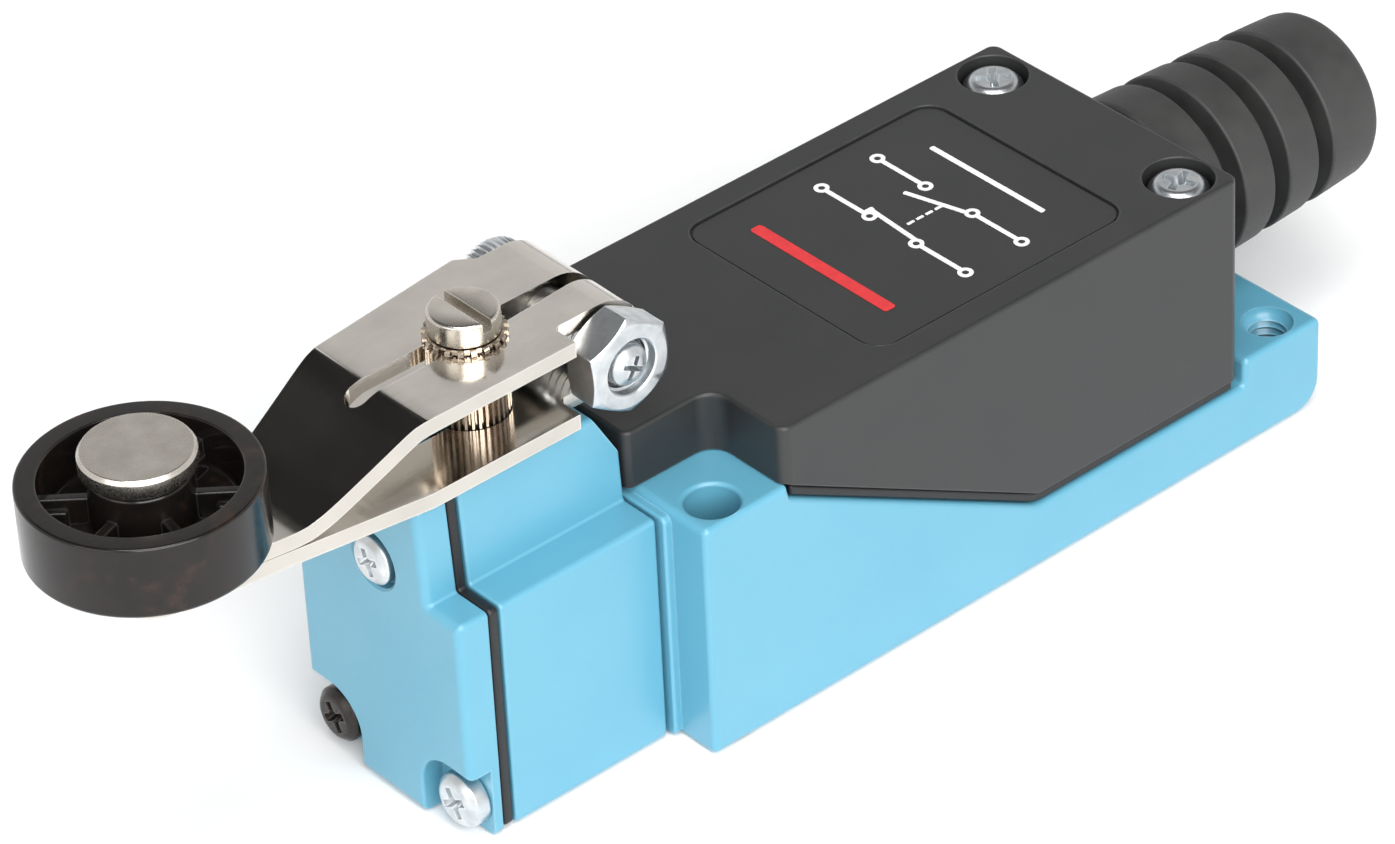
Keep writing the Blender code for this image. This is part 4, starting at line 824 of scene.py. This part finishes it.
def make_head(looks):
    paint = looks["blue_paint"]
    head = slab("head_casting", head_corners(), HEAD_RADII, "yz", HEAD_LOW.x, HEAD_HIGH.x, 0.22, 0.3)
    chamber = slab("chamber", rectangle(5.8, 5.8, (0.0, CHAMBER_Z)), [0.6] * 4, "yz", HEAD_LOW.x - 1.0,
                   HEAD_HIGH.x - 1.9)
    lip = HEAD_TOP_Z - 0.8
    narrow = SHAFT_BORE_RADIUS
    bore_line = [(0.0, 10.0), (4.2, 10.0), (4.2, lip), (narrow, lip), (narrow, HEAD_TOP_Z - 0.1),
                 (3.3, HEAD_TOP_Z + 0.01), (3.3, HEAD_TOP_Z + 1.0), (0.0, HEAD_TOP_Z + 1.0)]
    bore = turned("bore", bore_line, (SHAFT_X, 0, 0))
    way = rod("way", 4.4, -6.0, 3.0, (HEAD_HIGH.x, 0, MECHANISM_Z), "x")
    low_end = Vector((HEAD_HIGH.x, HEAD_RAMP_Z))
    high_end = Vector((HEAD_HIGH.x - HEAD_RAMP_LENGTH, HEAD_TOP_Z))
    along = high_end - low_end
    ramp = [low_end - along, (HEAD_HIGH.x + 9.0, HEAD_TOP_Z + along.y), high_end + along]
    cut(head, slab("ramp", ramp, [0] * 3, "xz", -12.0, 12.0))
    soften(head, 0.25, 3, 12.0, lambda middle: middle.z > HEAD_RAMP_Z - 0.1 and middle.x > high_end.x - 0.05
           and abs(middle.y) < HEAD_TOP_HALF_WIDTH - 0.9)
    cut(head, chamber, bore, way)
    y, z = CAP_SCREWS
    holes = [rod("hole", 1.4, -1.0, 9.0, (HEAD_LOW.x, across, up), "x", 24)
             for across, up in ((-y, z), (y, z))]
    cut(head, *holes)
    done(head, "head_housing", paint)

    gasket = slab("head_seal_plate", offset_corners(head_corners(), 0.12), HEAD_RADII, "yz", GASKET_LOW.x,
                  GASKET_HIGH.x, 0.3, 0.3)
    window = slab("window", rectangle(5.4, 5.4, (0.0, CHAMBER_Z)), [0.6] * 4, "yz", GASKET_LOW.x - 1.0,
                  GASKET_HIGH.x + 1.0)
    ways = [rod("way", 1.5, -1.0, 3.0, (GASKET_LOW.x, across, up), "x", 24)
            for across, up in ((-y, z), (y, z), (0.0, CAP_TOP_SCREW_Z))]
    cut(gasket, window, *ways)
    done(gasket, "head_gasket", looks["seal_rubber"])

    cap = slab("head_cap_casting", head_corners(), HEAD_RADII, "yz", CAP_LOW.x, CAP_HIGH.x, 0.75, 0.22)
    flange = CAP_LOW.x + 2 * CAP_FLANGE + 0.2
    tools = []
    reach = HEAD_HALF_WIDTH + 2.0
    for side_y in (-1, 1):
        inner = y - CAP_POCKET_RADIUS
        high = z + CAP_POCKET_RADIUS
        corner = [(inner, -2.0), (reach, -2.0), (reach, high), (inner, high)]
        radii = [0, 0, 0, CAP_POCKET_RADIUS - 0.2]
        if side_y < 0:
            corner = [(-across, up) for across, up in corner[::-1]]
            radii = radii[::-1]
        profile = [(-0.3, CAP_LOW.x - 1.0), (-0.3, CAP_LOW.x), (-0.09, CAP_LOW.x + 0.12),
                   (0.0, CAP_LOW.x + 0.3), (0.0, flange)]
        tools.append(loft("pocket", corner, radii, "yz", profile, 12))
        tools.append(rod("way", 1.5, -4.0, 3.0, (CAP_HIGH.x, side_y * y, z), "x", 24))
    top_pocket = [(0.0, 1.0), (2.8, 1.0), (2.6, 0.0), (2.4, -0.2), (2.35, -1.0), (1.5, -1.0), (1.5, -5.0),
                  (0.0, -5.0)]
    tools.append(turned("top_pocket", top_pocket, (CAP_LOW.x, 0.0, CAP_TOP_SCREW_Z), "-x", 48))
    cut(cap, *tools)
    done(cap, "head_cap", paint)


# --- lever, shaft and clamp ------------------------------------------------------------------------------

def curve_through(points, per=6):
    """A smooth line through points, as a Catmull-Rom spline."""
    ends = [2 * Vector(points[0]) - Vector(points[1])] + [Vector(point) for point in points]
    ends.append(2 * ends[-1] - ends[-2])
    result = []
    for index in range(1, len(ends) - 2):
        before, here, after, beyond = ends[index - 1:index + 3]
        for step in range(per):
            t = step / per
            result.append(0.5 * (2 * here + (after - before) * t
                                 + (2 * before - 5 * here + 4 * after - beyond) * t * t
                                 + (3 * here - before - 3 * after + beyond) * t ** 3))
    result.append(ends[-2])
    return result


def strap_line():
    """The middle line of the folded strap: along the upper leaf, round the fold and back along the lower."""
    half = SHEET / 2
    tip = ROLLER_X - LEVER_TIP_RADIUS - 0.5
    top = LEVER_HIGH.z - half
    bottom = LEVER_LOW.z + half
    joined = bottom + SHEET + 0.03
    drop = top - joined
    fall = ((-12.5, 0.0), (-10.4, 0.015), (-9.2, 0.07), (-7.5, 0.22), (-4.5, 0.55), (-1.5, 0.89),
            (-0.4, 0.98), (0.6, 1.0), (4.0, 1.0))
    bend = [(tip, joined), (ROLLER_X, joined)]
    bend += [(BEND_X + along, joined + share * drop) for along, share in fall] + [(FOLD_X - 2.0, top)]
    line = curve_through(bend)
    radius = (top - bottom) / 2
    steps = 20
    for step in range(steps + 1):
        turn = math.pi / 2 - math.pi * step / steps
        line.append(Vector((FOLD_X + radius * math.cos(turn), FOLD_Z + radius * math.sin(turn))))
    line.append(Vector((tip, bottom)))
    return line


def make_lever(look):
    line = strap_line()
    left, right = [], []
    for index, here in enumerate(line):
        before = line[max(index - 1, 0)]
        after = line[min(index + 1, len(line) - 1)]
        along = (after - before).normalized()
        across = Vector((-along.y, along.x)) * SHEET / 2
        left.append(here + across)
        right.append(here - across)
    outline = left + right[::-1]
    lever = slab("lever_strap", outline, [0] * len(outline), "xz", -9.0, 9.0)
    end = LEVER_HIGH.x + 2.0
    half = LEVER_HALF_WIDTH
    lean = math.asin((half - LEVER_TIP_RADIUS) / (BEND_X - ROLLER_X))
    steps = 28
    tip = []
    for step in range(steps + 1):
        turn = math.pi / 2 + lean + (math.pi - 2 * lean) * step / steps
        tip.append((ROLLER_X + LEVER_TIP_RADIUS * math.cos(turn), LEVER_TIP_RADIUS * math.sin(turn)))
    plan = [(BEND_X, -half), (end, -half), (end, LEVER_FAR_Y), (FLARE[0] + 1.4, LEVER_FAR_Y), FLARE,
            (BEND_X, half)]
    radii = [3.0, 0, 0, 0.5, 0.6, 3.0] + [0] * len(tip)
    plan += tip
    trim(lever, slab("plan", plan, radii, "xy", LEVER_LOW.z - 2.0, LEVER_HIGH.z + 2.0))
    half_slot = SLOT_WIDTH / 2
    slot = [(SLOT_END_X, -half_slot), (SHAFT_X, -half_slot), (end + 1.0, -SLOT_CLOSED),
            (end + 1.0, half_slot), (SLOT_END_X, half_slot)]
    low, high = LEVER_LOW.z - 3.0, LEVER_HIGH.z + 3.0
    tools = [slab("slot", slot, [half_slot - 0.02, 0, 0, 0, half_slot - 0.02], "xy", low, high),
             rod("shaft_hole", SHAFT_HOLE_RADIUS, low, high, (SHAFT_X, 0, 0)),
             rod("pin_hole", PIN_HOLE_RADIUS, low, high, (ROLLER_X, 0, 0)),
             slab("notch", [(NOTCH_X, -12.0), (end + 1.0, -12.0), (end + 1.0, NOTCH_Y), (NOTCH_X, NOTCH_Y)],
                  [0, 0, 0, 0.5], "xy", low, high)]
    cut(lever, *tools)
    soften(lever, 0.16, 2, 48.0)
    done(lever, "lever_arm", look, "lever")


def make_shaft(looks):
    x = SHAFT_X
    top = SHAFT_HIGH.z - 0.15
    base = HEAD_TOP_Z + 0.1
    radius = SERRATED_RADIUS
    profile = [(0.35, base), (0.0, base + 0.35), (0.0, top - 0.3), (0.3, top)]
    shaft = placed(toothed("serrated_shaft", 36, radius, radius - 0.34, profile, 0.10, 0.16), (x, 0, 0))
    journal_line = [(0.0, SHAFT_LOW.z), (JOURNAL_RADIUS - 0.25, SHAFT_LOW.z),
                    (JOURNAL_RADIUS, SHAFT_LOW.z + 0.2), (JOURNAL_RADIUS, base + 0.4), (0.0, base + 0.4)]
    journal = turned("journal", journal_line, (x, 0, 0))
    join(shaft, journal)
    done(shaft, "lever_shaft", looks["serrated_steel"], "lever", 20.0)

    bush_top = min(BUSH_HIGH.z, HEAD_TOP_Z - 1.0)
    outline = [(4.0, BUSH_LOW.z), (4.0, bush_top - 0.2), (3.85, bush_top), (3.7, bush_top),
               (3.7, bush_top - 1.4), (3.2, bush_top - 1.6), (3.2, BUSH_LOW.z)]
    bush = turned("bush", outline, (x, 0, 0), closed=True)
    done(bush, "shaft_bush", looks["bush_bronze"])

    low, high = LEVER_HIGH.z + 0.04, STAR_HIGH.z - 0.3
    teeth = 20
    profile = [(0.08, low), (0.0, low + 0.1), (0.0, high - 0.1), (0.08, high)]
    washer = toothed("toothed_washer", teeth, 3.15, 2.85, profile, 0.2, 0.2)
    for vertex in washer.data.vertices:
        if Vector(vertex.co[:2]).length > 2.95:
            vertex.co.z += 0.05 * math.sin(teeth * math.atan2(vertex.co.y, vertex.co.x) * 2)
    placed(washer, (x, 0, 0))
    cut(washer, rod("eye", 1.8, low - 1, high + 1, (x, 0, 0)))
    done(washer, "lock_washer", looks["serrated_steel"], "lever")

    base, top = STAR_HIGH.z - 0.24, SLOTTED_HIGH.z
    radius = (SLOTTED_HIGH.x - SLOTTED_LOW.x) / 2 - 0.2
    outline = softened([(0.0, top), (radius, top), (radius, base), (1.4, base)], [0, 0.3, 0.12, 0], 5)
    outline += [(1.4, SLOTTED_LOW.z + 0.3), (1.1, SLOTTED_LOW.z), (0.0, SLOTTED_LOW.z)]
    screw = turned("slotted_screw", outline, (x, 0, 0))
    cut(screw, mouth("driver_slot", rectangle(0.4, 6.0, (x, 0.0)), [0] * 4, "xy", top - 0.85, top, 0.1))
    done(screw, "shaft_screw", looks["turned_steel"], "lever")


def make_clamp(looks):
    zinc = looks["zinc_plate"]
    x, z = FOLD_X, FOLD_Z
    flats = (NUT_HIGH.x - NUT_LOW.x) / 2
    corner = flats / math.cos(math.pi / 6)
    low, high = NUT_LOW.y, NUT_HIGH.y
    hexagon = [(x + corner * math.cos(turn), z + corner * math.sin(turn))
               for turn in (math.pi / 2 + math.pi / 3 * step for step in range(6))]
    nut = slab("hex_nut", hexagon, [0.15] * 6, "xz", low, high)
    fall = (corner - flats * 0.93) * math.tan(math.radians(30))
    lens = [(0.0, low), (flats * 0.93, low), (corner + 0.02, low + fall), (corner + 0.02, high - fall),
            (flats * 0.93, high), (0.0, high)]
    trim(nut, turned("lens", lens, (x, 0, z), "y", 72))
    thread = [(0.0, low - 1.0), (2.35, low - 1.0), (2.35, low), (2.25, low + 0.1), (2.2, low + 0.8)]
    thread += thread_outline(2.25, 0.22, THREAD_PITCH, low + 0.9, high - 0.4)
    thread += [(2.4, high), (2.4, high + 1.0), (0.0, high + 1.0)]
    cut(nut, turned("nut_thread", thread, (x, 0, z), "y", 48))
    soften(nut, 0.05, 1, 40.0, lambda middle: (Vector((middle.x - x, middle.z - z))).length > 3.0)
    done(nut, "clamp_nut", zinc, "lever")

    tip = BOLT_LOW.y
    head_low = LEVER_FAR_Y + 0.2
    dome = [(0.0, tip), (0.9, tip + 0.05), (1.6, tip + 0.45), (1.72, tip + 0.9)]
    outline = softened(dome, [0, 0.6, 0.3, 0])
    outline += thread_outline(1.95, 0.25, THREAD_PITCH, tip + 1.0, head_low - 0.8)
    outline += [(1.95, head_low), (0.0, head_low + 0.2)]
    bolt = turned("clamp_screw", outline, (x, 0, z), "y", 48)
    top = BOLT_HIGH.y
    profile = [(0.25, head_low), (0.0, head_low + 0.25), (0.0, top - 0.5), (0.25, top - 0.12), (0.6, top)]
    knob = placed(toothed("bolt_head", 40, 3.3, 3.12, profile), (x, 0, z), "y")
    join(bolt, knob)
    blade = slab("blade", rectangle(5.0, 0.45, (x, z)), [0] * 4, "xz", top - 0.9, top + 1.0)
    socket = loft("socket", cross_outline(0.95, 0.2), [0.04] * 12, "xy",
                  [(-0.1, -1.0), (0.0, 0.1), (0.1, 0.85)], 2)
    socket.data.transform(Matrix.Rotation(0.5, 4, "Z"))
    cut(bolt, blade, placed(socket, (x, tip, z), "y"))
    done(bolt, "clamp_bolt", zinc, "lever", 30.0)


def make_roller(looks):
    x = ROLLER_X
    low, high = ROLLER_LOW.z, ROLLER_HIGH.z - 0.4
    outer = (ROLLER_HIGH.x - ROLLER_LOW.x) / 2
    inner = outer - 1.6
    floor = low + 2.2
    hub = 3.75
    hub_top = ROLLER_HIGH.z
    corners = [(outer, (low + high) / 2), (outer, low), (2.3, low), (2.3, hub_top), (hub, hub_top),
               (hub, floor), (inner - 0.1, floor), (inner, high), (outer, high), (outer, (low + high) / 2)]
    bends = [0, 0.4, 0, 0, 0.3, 0.3, 0.4, 0.14, 0.24, 0]
    roller = turned("roller_wheel", softened(corners, bends)[:-1], (x, 0, 0), steps=120, closed=True)
    ribs = []
    count = 6
    for index in range(count):
        turn = 2 * math.pi * index / count + 0.35
        spin = Matrix.Translation((x, 0, 0)) @ Matrix.Rotation(turn, 4, "Z")
        rib = slab("rib", rectangle((inner - hub) / 2 + 0.3, 0.4, ((inner + hub) / 2, 0.0)), [0.05] * 4, "xy",
                   floor - 0.3, high - 1.6, 0.0, 0.15)
        pad = slab("pad", rectangle(0.8, 0.95, ((inner + hub) / 2 + 0.5, 0.0)), [0.25] * 4, "xy", floor - 0.3,
                   high - 2.4, 0.0, 0.15)
        rib.data.transform(spin)
        pad.data.transform(spin)
        ribs += [rib, pad]
    join(roller, *ribs)
    done(roller, "roller", looks["roller_resin"], "roller")

    head_low = ROLLER_HIGH.z + 0.2
    top = PIN_HIGH.z
    radius = (PIN_HIGH.x - PIN_LOW.x) / 2
    foot = LEVER_LOW.z - 0.05
    corners = [(0.0, top), (radius - 0.22, top), (radius, top - 0.32), (radius, head_low + 0.3),
               (radius - 0.35, head_low), (PIN_RADIUS, head_low), (PIN_RADIUS, foot), (2.5, foot),
               (2.4, foot - 0.25), (0.0, foot - 0.35)]
    bends = [0, 0.1, 0.1, 0.1, 0.1, 0, 0, 0.05, 0.1, 0]
    pin = turned("pin", softened(corners, bends), (x, 0, 0), steps=96)
    done(pin, "roller_pin", looks["turned_steel"], "lever")

    low, high = SPACER_LOW.z, SPACER_HIGH.z
    edge = 0.12
    outline = [(4.0 - edge, low), (4.0, low + edge), (4.0, high - edge), (4.0 - edge, high), (2.3, high),
               (2.3, low)]
    spacer = turned("spacer", outline, (x, 0, 0), closed=True)
    done(spacer, "roller_washer", looks["zinc_plate"], "lever")


def make_gland(look):
    start, end = COVER_HIGH.x + 0.4, GLAND_HIGH.x
    base, tip = 8.1, 7.2
    pitch, groove, depth, count = 5.1, 1.7, 2.3, 3
    bore = 3.6

    def radius_at(along):
        return base + (tip - base) * (along - start) / (end - start)

    corners = [(bore, end - 1.2), (bore + 0.9, end), (radius_at(end) - 0.1, end)]
    bends = [0, 0.5, 1.5]
    for index in reversed(range(count)):
        low = start + 4.4 + pitch * index
        high = low + groove
        deep = radius_at(low) - depth
        corners += [(radius_at(high), high), (deep, high - 0.15), (deep, low + 0.15), (radius_at(low), low)]
        bends += [0.25, 0.3, 0.3, 0.25]
    wall = COVER_HIGH.x - COVER_WALL - 0.2
    corners += [(radius_at(start), start + 0.1), (5.6, start + 0.1), (5.6, wall), (7.0, wall),
                (7.0, GLAND_LOW.x), (bore, GLAND_LOW.x)]
    bends += [0.5, 0, 0, 0.2, 0.2, 0]
    gland = turned("gland", softened(corners, bends), (0, 0, GLAND_Z), "x", 96, closed=True)
    done(gland, "cable_gland", look)


# --- hidden parts, camera and light ----------------------------------------------------------------------

def make_spring(look, name, node, wire, turns):
    """A coil spring along X that fills the box of its CAD node."""
    low, high = corners_of(node)
    centre_z = (high.z + low.z) / 2
    radius = (high.z - low.z) / 2 - wire
    length = high.x - low.x
    per_turn, around = 24, 8
    count = turns * per_turn
    form = bmesh.new()
    rings = []
    for index in range(count + 1):
        turn = 2 * math.pi * index / per_turn
        x = low.x + wire + (length - 2 * wire) * index / count
        ring = []
        for step in range(around):
            tilt = 2 * math.pi * step / around
            reach = radius + wire * math.cos(tilt)
            ring.append(form.verts.new((x + wire * math.sin(tilt), reach * math.cos(turn),
                                        centre_z + reach * math.sin(turn))))
        rings.append(ring)
    spring = done(skin(name, form, rings), node, look)
    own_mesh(spring)


def finish_cad_nodes(looks):
    """Gives every CAD node the full material of its slot."""
    slots = [entry["slot"] for entry in frame["record"]["materials"]]
    for made in frame["nodes"].values():
        for holder in made.material_slots:
            name = holder.material.name.split(".")[0] if holder.material else ""
            if name in slots:
                holder.material = looks[name]


def make_camera():
    low, high = Vector(cad_box[0]), Vector(cad_box[1])
    aim = (low + high) / 2 + AIM_OFFSET
    azimuth, elevation = math.radians(AZIMUTH), math.radians(ELEVATION)
    ahead = Vector((math.sin(azimuth) * math.cos(elevation), math.cos(azimuth) * math.cos(elevation),
                    -math.sin(elevation)))
    data = bpy.data.cameras.new("camera")
    data.lens = LENS
    data.sensor_width = 36.0
    data.sensor_fit = "HORIZONTAL"
    data.clip_start = 0.01
    data.clip_end = 20.0
    camera = bpy.data.objects.new("camera", data)
    bpy.context.scene.collection.objects.link(camera)
    level = ahead.to_track_quat("-Z", "Y").to_matrix().to_4x4()
    camera.matrix_world = Matrix.Translation(aim - ahead * DISTANCE) @ level @ Matrix.Rotation(
        math.radians(ROLL), 4, "Z")
    bpy.context.scene.camera = camera
    return aim


def area_light(name, aim, direction, size, power):
    data = bpy.data.lights.new(name, "AREA")
    data.shape = "RECTANGLE"
    data.size, data.size_y = size
    data.energy = power
    light = bpy.data.objects.new(name, data)
    toward = Vector(direction).normalized()
    light.location = aim + toward * LIGHT_DISTANCE
    light.rotation_euler = (-toward).to_track_quat("-Z", "Y").to_euler()
    bpy.context.scene.collection.objects.link(light)


def make_world():
    """Soft room light: bright near the horizon, darker overhead."""
    world = bpy.data.worlds.new("studio")
    world.use_nodes = True
    bpy.context.scene.world = world
    tree = world.node_tree
    background = tree.nodes["Background"]
    place = add(tree, "ShaderNodeTexCoord").outputs["Generated"]
    split = add(tree, "ShaderNodeSeparateXYZ")
    ramp = add(tree, "ShaderNodeValToRGB")
    ramp.color_ramp.elements[0].position = 0.0
    ramp.color_ramp.elements[0].color = (1.0, 1.0, 1.0, 1.0)
    ramp.color_ramp.elements[1].position = 1.0
    ramp.color_ramp.elements[1].color = (0.10, 0.10, 0.11, 1.0)
    for position, level in ((0.50, 0.95), (0.60, 0.85), (0.66, 0.06), (0.72, 0.02)):
        stop = ramp.color_ramp.elements.new(position)
        stop.color = (level, level, level, 1.0)
    tree.links.new(place, split.inputs["Vector"])
    tree.links.new(split.outputs["Z"], ramp.inputs["Fac"])
    tree.links.new(ramp.outputs["Color"], background.inputs["Color"])
    background.inputs["Strength"].default_value = 0.9


def make_stage():
    form = bmesh.new()
    bmesh.ops.create_grid(form, x_segments=1, y_segments=1, size=3.0)
    floor = object_of("floor", form)
    floor.location.z = -0.0002
    made = surface("floor_paper", (0.93, 0.93, 0.93), (0.92, 0.92, 0.92), (0.8, 0.9), patch_size=60.0,
                   grain=1.0, bump=0.002)
    floor.data.materials.append(made)


def main():
    looks = make_looks()
    finish_cad_nodes(looks)
    make_body(looks["blue_paint"])
    make_cover(looks["black_plastic"])
    make_seal(looks["seal_rubber"])
    make_label(looks)
    make_head(looks)
    make_screws(looks)
    make_lever(looks["nickel_plate"])
    make_shaft(looks)
    make_clamp(looks)
    make_roller(looks)
    make_gland(looks["black_rubber"])
    make_spring(looks["spring_steel"], "return_coil", "follower_spring", 0.35, 6)
    make_spring(looks["spring_steel"], "carrier_coil", "carrier_spring", 0.3, 4)
    aim = make_camera()
    make_world()
    make_stage()
    area_light("key", aim, (-0.30, -0.80, 0.55), (0.8, 0.6), 9.0)
    area_light("head_side", aim, (-0.95, -0.15, 0.45), (0.5, 0.5), 1.3)
    area_light("top", aim, (-0.2, -0.25, 1.0), (0.5, 0.5), 5.0)
    bpy.context.scene.view_settings.view_transform = "Standard"


main()
